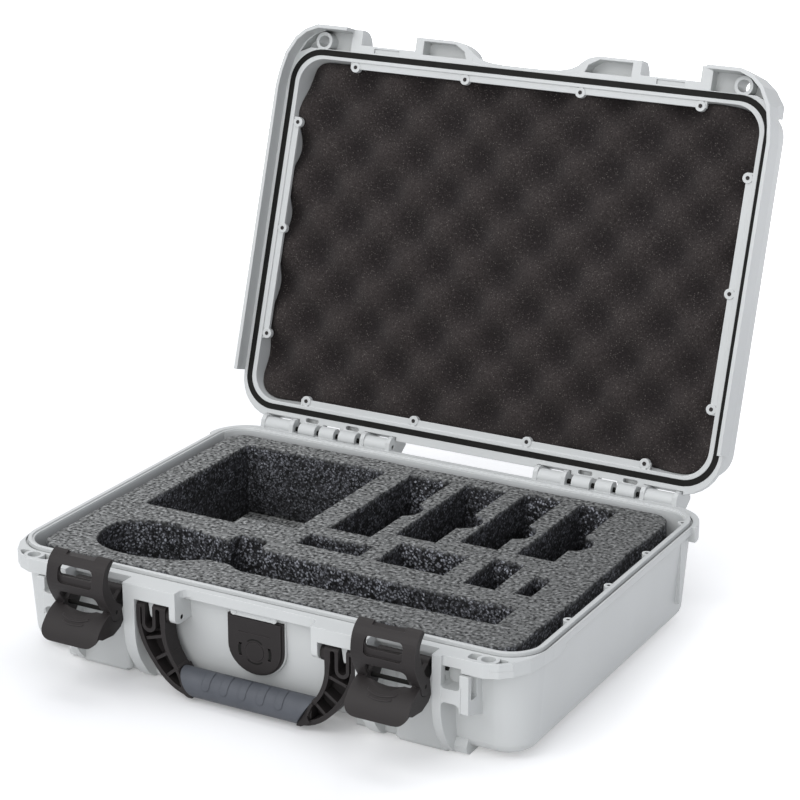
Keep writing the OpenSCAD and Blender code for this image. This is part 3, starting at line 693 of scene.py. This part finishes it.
def fill(outline: Array, holes: Sequence[Array], pitch: float, seed: int) -> tuple[Array, Faces]:
    """Triangulates a flat region with holes, with scattered points between its edges.

    Args:
        outline: Outer loop.
        holes: Loops left open.
        pitch: Spacing of the points inside, or 0 for none.
        seed: Seed of their scatter.

    Returns:
        Points and triangles.
    """
    loops = [outline, *holes]
    points = [np.concatenate(loops)]
    if pitch > 0:
        low, high = outline.min(axis=0), outline.max(axis=0)
        gx, gy = np.meshgrid(np.arange(low[0], high[0], pitch), np.arange(low[1], high[1], pitch))
        grid = np.stack([gx.ravel(), gy.ravel()], axis=1)
        grid += np.random.default_rng(seed).uniform(-SCATTER, SCATTER, grid.shape) * pitch
        grid = grid[within(grid, *loops)]
        gap = np.full(len(grid), np.inf)
        for start in range(0, len(points[0]), BATCH):
            part = points[0][start : start + BATCH]
            gap = np.minimum(gap, np.linalg.norm(grid[:, None] - part[None], axis=2).min(axis=1))
        points.append(grid[gap > EDGE_GAP * pitch])
    places = np.concatenate(points)
    edges, first = [], 0
    for loop in loops:
        index = np.arange(len(loop)) + first
        edges.append(np.stack([index, np.roll(index, -1)], axis=1))
        first += len(loop)
    made = delaunay_2d_cdt([Vector(point) for point in (places / MM).tolist()],
                           np.concatenate(edges).tolist(), [], 0, SAME_POINT)
    corners = np.array([tuple(point) for point in made[0]]) * MM
    faces = np.array(made[2])
    return corners, faces[within(corners[faces].mean(axis=1), *loops)]


def link(name: str, data: bpy.types.ID) -> bpy.types.Object:
    """Makes an object of mesh, lamp or camera data and links it to the scene."""
    made = bpy.data.objects.new(name, data)
    bpy.context.scene.collection.objects.link(made)
    return made


def make_piece(name: str, body: str, slot: Slot, parts: Sequence[Patch],
               weld: float = WELD) -> bpy.types.Object:
    """Joins patches into one closed piece with a "cut" value on each point, for painted shade.

    Args:
        name: Name of the piece and its mesh.
        body: Body that it rides on.
        slot: Slot of its finish and of the record.
        parts: Its patches.
        weld: Points nearer than this become one.

    Returns:
        The new piece, linked to the scene.
    """
    points, faces, cuts, first = [], [], [], 0
    for places, polygons, cut in parts:
        points.append(places)
        cuts.append(cut)
        faces.extend((polygons + first).tolist())
        first += len(places)
    mesh = bpy.data.meshes.new(name)
    mesh.from_pydata(np.concatenate(points).tolist(), [], faces)
    values = np.concatenate(cuts).astype(np.float32)
    mesh.attributes.new("cut", "FLOAT", "POINT").data.foreach_set("value", values)
    work = bmesh.new()
    work.from_mesh(mesh)
    bmesh.ops.remove_doubles(work, verts=work.verts, dist=weld)
    bmesh.ops.recalc_face_normals(work, faces=work.faces)
    work.to_mesh(mesh)
    work.free()
    mesh.shade_smooth()
    piece = link(name, mesh)
    dress(piece, slot)
    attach(piece, body)
    LOG.info("made %s: %d points", name, len(mesh.vertices))
    return piece


def band(rows: Array) -> tuple[Array, Faces]:
    """Makes quads between closed rings of points.

    Args:
        rows: Points as rings by points by 3.

    Returns:
        Points and quads.
    """
    rings, count = rows.shape[:2]
    ring, column = np.meshgrid(np.arange(rings - 1), np.arange(count), indexing="ij")
    after = (column + 1) % count
    quads = np.stack([ring * count + column, ring * count + after, (ring + 1) * count + after,
                      (ring + 1) * count + column], axis=-1)
    return rows.reshape(-1, 3), quads.reshape(-1, 4)


def prism(outline: Array, holes: Sequence[Array], low: float, high: float) -> list[Patch]:
    """Makes the patches of an upright block with upright holes.

    Args:
        outline: Counter-clockwise loop.
        holes: Loops of the holes.
        low: Height of the underside.
        high: Height of the top.

    Returns:
        Patches for make_piece.
    """
    flat, faces = fill(outline, holes, 0.0, 0)
    parts = [(raised(flat, height), faces, np.zeros(len(flat))) for height in (low, high)]
    for loop in (outline, *holes):
        rows = np.stack([raised(loop, height) for height in (low, high)])
        parts.append((*band(rows), np.zeros(2 * len(loop))))
    return parts


# ---- sub-assemblies


@dataclass
class Carcass:
    """Base and lid shells with their hinge pins and seals, as the model has them."""

    shells: tuple[str, ...] = ("base_shell", "lid_shell")
    seals: tuple[str, ...] = ("lid_seal", "valve_seal")
    pins: tuple[str, ...] = ("hinge_pin_left", "hinge_pin_right")

    def build(self) -> None:
        """Dresses the nodes."""
        dress_nodes(self.shells, Slot.SHELL)
        dress_nodes(self.seals, Slot.SEAL)
        dress_nodes(self.pins, Slot.PIN)


@dataclass
class Hardware:
    """Latches, handle and valve, as the model has them."""

    nylon: tuple[str, ...] = ("latch_lever_left", "latch_lever_right", "latch_claw_left",
                              "latch_claw_right", "handle_frame", "valve_body", "valve_cap")
    grips: tuple[str, ...] = ("handle_grip",)
    pins: tuple[str, ...] = ("lever_pin_left", "lever_pin_right", "claw_pin_left",
                             "claw_pin_right", "handle_pin_left", "handle_pin_right")

    def build(self) -> None:
        """Dresses the nodes."""
        dress_nodes(self.nylon, Slot.HARDWARE)
        dress_nodes(self.grips, Slot.GRIP)
        dress_nodes(self.pins, Slot.PIN)


@dataclass
class FoamSlab:
    """A flat foam block with pockets cut right through it.

    The face is a triangulated plane. Each wall carries a profile round its loop: a quarter
    circle at the worn top edge, then rows down the cut, each pushed into the foam by noise.
    """

    name: str
    node: str
    body: str
    outline: Array
    low: float
    top: float
    pockets: Sequence[Array] = ()
    pitch: float = 2.0 * MM
    row_pitch: float = 1.15  # spacing of a wall's rows, in pitches
    edge: float = 0.9 * MM
    edge_rows: int = 4
    # depth of the tears in the cut, sizes of tears and swells, a swell's share of a tear
    torn: float = 0.7 * MM
    tear_size: float = 2.4 * MM
    swell_size: float = 9.0 * MM
    swell: float = 0.6
    # how far the block's own edge is worn back, and the length over which that changes
    worn: float = 2.2 * MM
    wear_size: float = 26.0 * MM
    # depth below the face at which the walls' painted shade is full
    painted_shade_depth: float = 1.6 * MM
    seed: int = 11

    def wall(self, loop: Array, into_foam: float) -> Array:
        """Rings of a wall from the face down to the underside.

        Args:
            loop: Counter-clockwise loop of the cut.
            into_foam: 1 for a pocket, whose foam lies outside the loop, or -1 for the block's
                own edge.

        Returns:
            Rings by points by 3.
        """
        turn = np.linspace(0, math.pi / 2, self.edge_rows)
        rows = max(3, round((self.top - self.low) / (self.row_pitch * self.pitch)))
        down = np.linspace(self.top - self.edge, self.low, rows)
        offset = np.concatenate([self.edge * (1 - np.sin(turn)), np.zeros(len(down) - 1)])
        height = np.concatenate([self.top - self.edge * (1 - np.cos(turn)), down[1:]])
        places = np.stack([raised(loop, level) for level in height])
        shape, spots = places.shape[:2], places.reshape(-1, 3)
        rough = value_noise(spots, self.tear_size, self.seed).reshape(shape)
        rough += self.swell * value_noise(spots, self.swell_size, self.seed + 1).reshape(shape)
        # tears are half as deep at the face and full from the third row down
        growth = np.minimum(1, 0.5 + np.arange(len(height)) / 4)
        push = offset[:, None] + self.torn * rough * growth[:, None]
        if into_foam < 0:
            push = push + self.worn * value_noise(raised(loop), self.wear_size, self.seed + 2)[None]
        places[..., :2] += into_foam * loop_normals(loop)[None] * push[..., None]
        return places

    def build(self) -> None:
        """Makes the block, dresses it and puts it in place of the model's node."""
        loops = [resample(loop, self.pitch) for loop in self.pockets]
        outer = resample(self.outline, self.pitch)
        rings = [self.wall(outer, -1.0)] + [self.wall(loop, 1.0) for loop in loops]
        parts = []
        for level, height, pitch in ((0, self.top, self.pitch), (-1, self.low, 0.0)):
            edges = [ring[level][:, :2] for ring in rings]
            flat, faces = fill(edges[0], edges[1:], pitch, self.seed)
            parts.append((raised(flat, height), faces, np.zeros(len(flat))))
        for ring in rings:
            places, quads = band(ring)
            # painted shade: the walls darken from the face down to this depth
            depth = np.clip((self.top - places[:, 2]) / self.painted_shade_depth, 0, 1)
            parts.append((places, quads, depth))
        piece = make_piece(self.name, self.body, Slot.BASE_FOAM, parts)
        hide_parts(self.node)


@dataclass
class BaseFoam:
    """The cut insert of the base and the plain pad beneath it."""

    deep: float = 61.5 * MM
    pad: float = 9.8 * MM
    gap: float = 0.2 * MM
    top: float = -3.0 * MM
    centre: Span = (-3.0 * MM, 0.7 * MM)
    half: Span = (160.5 * MM, 113.5 * MM)
    corner: float = 15.0 * MM
    pad_half: Span = (155.9 * MM, 108.9 * MM)
    pad_corner: float = 13.0 * MM
    pad_pitch: float = 3.0 * MM
    pad_seed: int = 23
    # the pockets are in millimetres; here corners with how far from each its curve starts
    long_pocket: tuple[Triple, ...] = (
        (-40, -54, 4), (60, -60, 30), (132, -59, 1.5), (132, -83, 1.5), (60, -86, 30),
        (-34, -88, 5), (-42, -82.4, 4), (-60, -82.4, 4), (-68, -90, 7), (-86, -96, 12),
        (-110, -99.5, 14), (-132, -93, 14), (-141, -74, 14), (-138, -55, 12), (-120, -46.5, 13),
        (-98, -46, 14), (-63, -53, 3), (-62, -43, 3), (-60.4, -40.8, 2), (-43.6, -40.8, 2),
        (-42, -44, 2))
    square_pocket: tuple[Span, ...] = ((-142, 96.5), (-38, 96.5), (-38, -15), (-77, -15),
                                       (-77, -25), (-142, -25))
    # left, front, right and rear
    slots: tuple[tuple[float, float, float, float], ...] = (
        (-25, -35, 17, -19), (123, -39, 132, -13), (30, -36, 74, -5), (90, -40, 109, 0))
    # left, width, front, rear and how far the finger notch reaches out on the right
    notched: tuple[tuple[float, float, float, float, float], ...] = (
        (-20, 28, -5, 99, 7), (20, 26.5, 6, 101, 10.5), (60, 24, 14, 105, 9),
        (98, 23.5, 14, 105, 9.5))
    notch_radius: float = 12.5
    notch_y: float = 45.5
    notch_steps: int = 15

    def pocket_loops(self) -> list[Array]:
        """Counter-clockwise outlines of the pockets, in metres."""
        loops = [soften(np.array(self.long_pocket[::-1], float)),
                 np.array(self.square_pocket[::-1], float)]
        loops += [np.array([(x0, y0), (x1, y0), (x1, y1), (x0, y1)], float)
                  for x0, y0, x1, y1 in self.slots]
        loops += [self.notched_loop(*pocket) for pocket in self.notched]
        return [loop * MM for loop in loops]

    def notched_loop(self, x: float, width: float, front: float, rear: float,
                     notch: float) -> Array:
        """Outline of a pocket with a round finger notch on its right.

        Args:
            x: Its left side.
            width: Its width.
            front: Its front end.
            rear: Its rear end.
            notch: How far the notch reaches out.

        Returns:
            The loop in millimetres, counter-clockwise.
        """
        right = x + width
        centre = right + notch - self.notch_radius + 0.1
        reach = math.acos(max(-1.0, min(1.0, (right - centre) / self.notch_radius)))
        turn = np.linspace(-reach, reach, self.notch_steps)
        arc = np.stack([centre + self.notch_radius * np.cos(turn),
                        self.notch_y + self.notch_radius * np.sin(turn)], axis=1)
        return np.concatenate([[(x, front), (right, front)], arc, [(right, rear), (x, rear)]])

    def build(self) -> None:
        """Makes the insert and the pad."""
        floor = LIP - self.deep
        outline = rounded_rectangle(*self.half, self.corner, self.centre)
        FoamSlab("cut_foam_insert", "base_foam", "base", outline, floor + self.pad + self.gap,
                 LIP + self.top, self.pocket_loops()).build()
        outline = rounded_rectangle(*self.pad_half, self.pad_corner, self.centre)
        FoamSlab("foam_floor_pad", "base_foam_pad", "base", outline, floor, floor + self.pad,
                 pitch=self.pad_pitch, seed=self.pad_seed).build()


@dataclass
class LidFoam:
    """Egg-crate lining of the lid.

    Its face is a lattice of domes: depth = middle - swing (cos(2 pi a) + cos(2 pi b)) / 2, where
    a and b count steps along the two lattice directions. A slow noise bends the lattice a little
    and a fine one roughens the face.
    """

    hinge: Span = (133.0 * MM, 67.0 * MM)
    opened: float = math.radians(107.71)
    half: Span = (165.5 * MM, 116.7 * MM)
    radius: float = 18.0 * MM
    corner_steps: int = 16
    peak: float = 5.0 * MM
    valley: float = 14.6 * MM
    back: float = 42.2 * MM
    step_a: Span = (24.1 * MM, 22.6 * MM)
    step_b: Span = (-22.0 * MM, 24.4 * MM)
    first: Span = (-72.0 * MM, -83.2 * MM)
    bend: float = 0.06
    bend_size: float = 60.0 * MM
    bend_seed: int = 5
    nap: float = 0.25 * MM
    nap_size: float = 3.0 * MM
    nap_seed: int = 8
    # in millimetres: how far the lid's drafted wall has come in at each depth
    wall_depths: tuple[float, ...] = (0, 5, 37, 40.4, 42.2)
    wall_insets: tuple[float, ...] = (0.9, 0.9, 4.0, 5.7, 8.7)
    rows: int = 14
    pitch: float = 2.0 * MM
    seed: int = 3

    def depth(self, flat: Array) -> Array:
        """Depth of the face above the shut lip.

        Args:
            flat: Places in the shut lid's plane.

        Returns:
            One depth for each place.
        """
        basis = np.linalg.inv(np.array([self.step_a, self.step_b]))
        counts = (flat - np.array(self.first)) @ basis
        warp = self.bend * (value_noise(raised(flat), self.bend_size, self.bend_seed) - 0.5)
        wave = (np.cos(2 * math.pi * (counts[:, 0] + warp))
                + np.cos(2 * math.pi * (counts[:, 1] - warp)))
        nap = self.nap * (value_noise(raised(flat), self.nap_size, self.nap_seed) + 0.2)
        return (self.peak + self.valley) / 2 - (self.valley - self.peak) / 4 * wave + nap

    def inset(self, depth: Array) -> Array:
        """How far the lid's drafted wall has come in at that depth."""
        return np.interp(depth, np.array(self.wall_depths) * MM, np.array(self.wall_insets) * MM)

    def open_pose(self, places: Array) -> Array:
        """Turns places of the shut lid into the open rest pose, about the hinge.

        Args:
            places: Places with their heights counted from the lip.

        Returns:
            The turned places.
        """
        y = places[:, 1] - self.hinge[0]
        z = places[:, 2] + LIP - self.hinge[1]
        c, s = math.cos(-self.opened), math.sin(-self.opened)
        return np.column_stack([places[:, 0], y * c - z * s + self.hinge[0],
                                y * s + z * c + self.hinge[1]])

    def build(self) -> None:
        """Makes the lining, dresses it and puts it in place of the model's node."""
        rim = rounded_rectangle(*self.half, self.radius, steps=self.corner_steps)
        rim = resample(rim, self.pitch)
        normals = loop_normals(rim)
        seat = rim - normals * self.wall_insets[0] * MM
        flat, faces = fill(seat, [], self.pitch, self.seed)
        face = raised(flat, self.depth(flat))
        top = self.depth(seat)
        share = np.linspace(0, 1, self.rows)[:, None]
        levels = top[None, :] + (self.back - top)[None, :] * share
        spread = rim[None] - normals[None] * self.inset(levels)[..., None]
        rings = np.concatenate([spread, levels[..., None]], axis=2)
        # the face's edge takes the places of the wall's first ring; only points near it,
        # within 12 mm of every eighth point, are compared with it all
        nearby = np.linalg.norm(flat[:, None] - seat[None, ::8], axis=2).min(axis=1) < 12 * MM
        close = np.flatnonzero(nearby)
        gap = np.linalg.norm(flat[close][:, None] - seat[None], axis=2)
        nearest = gap.argmin(axis=1)
        hit = gap.min(axis=1) < WELD / 2
        face[close[hit]] = rings[0][nearest[hit]]
        under, under_faces = fill(rings[-1][:, :2], [], 0.0, self.seed)
        # share of the relief's depth, which the lining's finish paints as shade
        sunk = np.clip((face[:, 2] - self.peak) / (self.valley - self.peak), 0, 1)
        parts = [(face, faces, sunk), (*band(rings), np.zeros(rings.shape[0] * rings.shape[1])),
                 (raised(under, self.back), under_faces, np.zeros(len(under)))]
        parts = [(self.open_pose(places), polygons, cut) for places, polygons, cut in parts]
        piece = make_piece("egg_crate_lining", "lid", Slot.LID_FOAM, parts)
        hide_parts("lid_foam")


@dataclass
class MouldedDetails:
    """Small mouldings of the shells: ring bosses in the right wall, the flange strip in front
    of each padlock bore, the lid's front lip with its coves, and dark plugs and sheets of
    painted shade in the screw bores and the valve's grooves. Outlines are in millimetres.
    """

    wall_bosses: tuple[Span, ...] = ((166.0, -61.0), (166.0, -6.0), (166.0, 49.0), (166.0, 104.0))
    boss_radius: float = 2.9 * MM
    bore_radius: float = 1.2 * MM
    boss_heights: Span = (-7.0 * MM, -1.6 * MM)
    lid_bores: tuple[Span, ...] = (
        *((x, s * 113.4) for x in (-124.0, -41.5, 41.5, 124.0) for s in (-1, 1)),
        *((s * 162.2, y) for y in (-72.5, 0.0, 72.5) for s in (-1, 1)))
    lid_bore_radius: float = 1.3 * MM
    lid_boss_face: float = 0.9 * MM
    lid_bore_end: float = 1.2 * MM
    circle_points: int = 28
    # painted shade: a small step by which the dark plugs and sheets are placed and thickened
    shade_step: float = 0.15 * MM
    strip: tuple[Span, ...] = ((153.6, -134.05), (158.43, -132.06), (164.55, -126.45),
                               (163.6, -125.7), (157.8, -131.0), (153.2, -132.9))
    strip_heights: Span = (-6.4 * MM, -1.75 * MM)
    # right half of the front lip from the middle outwards, and back inside the flange
    cove: tuple[Span, ...] = ((0.0, -125.3), (15.0, -125.4), (26.0, -126.2), (33.0, -127.9),
                              (37.5, -130.5), (40.0, -132.8), (42.2, -134.5), (44.4, -135.9),
                              (45.4, -135.2), (41.5, -130.5), (38.7, -126.2), (36.5, -124.3))
    cove_heights: Span = (0.43 * MM, 5.97 * MM)
    # inner and outer radius in millimetres, start and end in degrees, about the valve's axis
    valve_grooves: tuple[tuple[float, float, float, float], ...] = (
        (7.0, 7.8, 50, 130), (7.0, 7.8, 230, 310), (9.3, 11.2, -17, 17), (9.3, 11.2, 163, 197))
    groove_points: int = 12
    valve_height: float = 35.0 * MM
    valve_face: float = -124.84 * MM

    def circle(self, centre: Span, radius: float) -> Array:
        """Counter-clockwise circle; the centre is in millimetres."""
        turn = np.linspace(0, 2 * math.pi, self.circle_points, endpoint=False)
        return np.stack([np.cos(turn), np.sin(turn)], axis=1) * radius + np.array(centre) * MM

    @staticmethod
    def place(name: str, body: str, slot: Slot, parts: list[Patch]) -> None:
        """Makes a flat-shaded piece from patches."""
        make_piece(name, body, slot, parts, FINE_WELD).data.shade_flat()

    def build(self) -> None:
        """Makes all of them, the base's first."""
        self.build_base()
        self.build_valve()
        self.build_lid()

    def build_base(self) -> None:
        """Makes the wall's bosses with dark plugs of painted shade in their bores, and the flange
        strips.
        """
        low, high = (height + LIP for height in self.boss_heights)
        rings, shade_plugs = [], []
        for centre in self.wall_bosses:
            bore = self.circle(centre, self.bore_radius)
            rings += prism(self.circle(centre, self.boss_radius), [bore], low, high)
            # painted shade: a dark plug fills each bore
            shade_plugs += prism(bore, [], low, high - 2 * self.shade_step)
        self.place("wall_boss_rings", "base", Slot.SHELL, rings)
        self.place("wall_bore_painted_shade", "base", Slot.HARDWARE, shade_plugs)
        strips = []
        for side in (1, -1):
            loop = np.array(self.strip[::side]) * MM * np.array([side, 1])
            strips += prism(loop, [], *(height + LIP for height in self.strip_heights))
        self.place("flange_strips", "base", Slot.SHELL, strips)

    def build_valve(self) -> None:
        """Makes dark sheets of painted shade in the valve's grooves, each a ring's arc on its
        upright face.
        """
        grooves = []
        for inner, outer, start, end in self.valve_grooves:
            turn = np.radians(np.linspace(start, end, self.groove_points))
            ray = np.stack([np.cos(turn), np.sin(turn)], axis=1) * MM
            loop = np.concatenate([ray * outer, ray[::-1] * inner])
            # painted shade: a thin dark sheet over each groove
            grooves += prism(loop, [], 0.0, 2 * self.shade_step)
        shift = np.array([0, self.valve_face, self.valve_height])
        grooves = [(places[:, [0, 2, 1]] + shift, faces, cut) for places, faces, cut in grooves]
        self.place("valve_groove_painted_shade", "base", Slot.SEAL, grooves)

    def build_lid(self) -> None:
        """Makes dark plugs of painted shade in the lid's screw bores, and its front lip, shut, and
        opens them.
        """
        shade_plugs = []
        for centre in self.lid_bores:
            # painted shade: a dark plug in each screw bore
            shade_plugs += prism(self.circle(centre, self.lid_bore_radius), [],
                            self.lid_boss_face - self.shade_step, self.lid_bore_end)
        half = np.array(self.cove)
        loop = np.concatenate([(half[1:] * [-1, 1])[::-1], half])
        lip = prism(loop * MM, [], *self.cove_heights)
        lining = LidFoam()
        for name, parts, slot in (("lid_bore_painted_shade", shade_plugs, Slot.HARDWARE),
                                  ("lid_front_lip", lip, Slot.SHELL)):
            parts = [(lining.open_pose(places), faces, cut) for places, faces, cut in parts]
            self.place(name, "lid", slot, parts)


# ---- studio


@dataclass
class Studio:
    """Pale floor, white surround, soft lamps and the camera at the photograph's angle.

    The floor shines a little by itself for the eye: more towards the back, far out and on the
    side away from the key lamp, so that it fades to white as in the photograph.
    """

    eye: Triple = (0.67975, -1.19494, 0.62363)
    forward: Triple = (-0.45395, 0.82916, -0.32622)
    up: Triple = (-0.15898, 0.28487, 0.94529)
    lens: float = 109.67
    sensor: float = 36.0
    clip: Span = (0.05, 50.0)
    floor_half: float = 6.0
    floor_colour: str = "#e6e6e6"
    # painted light: the floor's own shine, which only the eye sees, and the Y from which to which
    # it rises
    lift: Span = (0.10, 0.36)
    lift_from_to: Span = (-0.5, 1.2)
    # added far out, and the distance from which to which it rises
    far_lift: float = 0.8
    far_from_to: Span = (0.55, 1.3)
    # painted light that lightens the floor's shadow on the side away from the key lamp: its
    # direction, then start, end and amount of each rise
    lamp_side: Triple = (0.877, 0.48, 0.0)
    side_lifts: tuple[Triple, ...] = ((-0.01, 0.05, 0.15), (0.15, 0.22, 0.12))
    surround: str = "#ffffff"
    fill_colour: str = "#f1f4fc"
    fill_light: float = 0.66
    # name, place, size and power of each soft box, and the point they face
    lamps: tuple[tuple[str, Triple, float, float], ...] = (
        ("key lamp", (-0.8, -2.1, 2.4), 2.0, 40.0), ("top lamp", (-0.3, 0.5, 2.6), 1.6, 18.0),
        ("front fill", (0.7, -2.4, 0.9), 1.6, 18.0))
    aim: Triple = (0.0, 0.05, 0.1)

    def build(self) -> None:
        """Makes floor, world, lamps and camera."""
        self.make_floor()
        self.make_world()
        for lamp in self.lamps:
            self.make_lamp(*lamp)
        self.make_camera()

    @staticmethod
    def seen_directly(tree: Tree) -> Socket:
        """One for rays from the camera, or that reach it by a mirror or through glass."""
        path = add(tree, "ShaderNodeLightPath").outputs
        both = calculate(tree, "MAXIMUM", path["Is Camera Ray"], path["Is Glossy Ray"])
        return calculate(tree, "MAXIMUM", both, path["Is Transmission Ray"])

    def make_floor(self) -> None:
        """Makes the floor: matt paper, lifted to white for the eye but still taking the shadow."""
        half = self.floor_half
        mesh = bpy.data.meshes.new("floor")
        mesh.from_pydata([(-half, -half, 0), (half, -half, 0), (half, half, 0), (-half, half, 0)],
                         [], [(0, 1, 2, 3)])
        floor = link("floor", mesh)
        material = bpy.data.materials.new("matt white paper")
        material.use_nodes = True
        tree = material.node_tree
        tree.nodes.clear()
        paper = add(tree, "ShaderNodeBsdfDiffuse", {"Color": linear(self.floor_colour)})
        glow = add(tree, "ShaderNodeEmission", {"Strength": self.shine(tree)})
        both = add(tree, "ShaderNodeAddShader", {0: paper.outputs[0], 1: glow.outputs[0]})
        add(tree, "ShaderNodeOutputMaterial", {"Surface": both.outputs[0]})
        mesh.materials.append(material)

    def shine(self, tree: Tree) -> Socket:
        """Adds up the floor's own shine, which only the eye sees.

        Args:
            tree: The floor's node tree.

        Returns:
            Socket of its strength.
        """
        place = place_of(tree)
        away = add(tree, "ShaderNodeSeparateXYZ", {"Vector": place}).outputs["Y"]
        across = add(tree, "ShaderNodeVectorMath", {0: place, 1: self.lamp_side},
                     operation="DOT_PRODUCT").outputs["Value"]
        reach = add(tree, "ShaderNodeVectorMath", {0: place}, operation="LENGTH").outputs["Value"]
        lift = remap(tree, away, *self.lift_from_to, *self.lift)
        rises = [remap(tree, reach, *self.far_from_to, 0.0, self.far_lift)]
        rises += [remap(tree, across, start, end, 0.0, amount)
                  for start, end, amount in self.side_lifts]
        for rise in rises:
            lift = calculate(tree, "ADD", lift, rise)
        return calculate(tree, "MULTIPLY", self.seen_directly(tree), lift)

    def make_world(self) -> None:
        """Makes the surround: an even white dome, plain white where it is seen."""
        world = bpy.data.worlds.new("white surround")
        bpy.context.scene.world = world
        world.use_nodes = True
        tree = world.node_tree
        tree.nodes.clear()
        seen = self.seen_directly(tree)
        strength = remap(tree, seen, 0.0, 1.0, self.fill_light, 1.0)
        colour = blend(tree, seen, linear(self.fill_colour), linear(self.surround))
        dome = add(tree, "ShaderNodeBackground", {"Color": colour, "Strength": strength})
        add(tree, "ShaderNodeOutputWorld", {"Surface": dome.outputs[0]})

    def make_lamp(self, name: str, place: Triple, side: float, power: float) -> None:
        """Makes a square soft box aimed at the case.

        Args:
            name: Name of the lamp.
            place: Where it hangs.
            side: Its size.
            power: Its power in watts.
        """
        light = bpy.data.lights.new(name, "AREA")
        light.size, light.energy = side, power
        lamp = link(name, light)
        lamp.location = place
        aim = Vector(self.aim) - Vector(place)
        lamp.rotation_euler = aim.to_track_quat("-Z", "Y").to_euler()

    def make_camera(self) -> None:
        """Makes the camera from its place, its line of sight and its up direction."""
        data = bpy.data.cameras.new("camera")
        data.sensor_width, data.lens = self.sensor, self.lens
        data.clip_start, data.clip_end = self.clip
        camera = link("camera", data)
        back = -Vector(self.forward).normalized()
        right = Vector(self.up).cross(back).normalized()
        turn = Matrix((right, back.cross(right), back)).transposed()
        camera.matrix_world = Matrix.Translation(self.eye) @ turn.to_4x4()
        bpy.context.scene.camera = camera


def main() -> None:
    """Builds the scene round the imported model, in order."""
    logging.basicConfig(level=logging.INFO, format="%(message)s")
    bpy.context.scene.view_settings.view_transform = "Standard"
    Studio().build()
    for assembly in (Carcass(), Hardware(), BaseFoam(), LidFoam(), MouldedDetails()):
        assembly.build()
        LOG.info("%s is done", type(assembly).__name__)


if __name__ == "__main__":
    main()
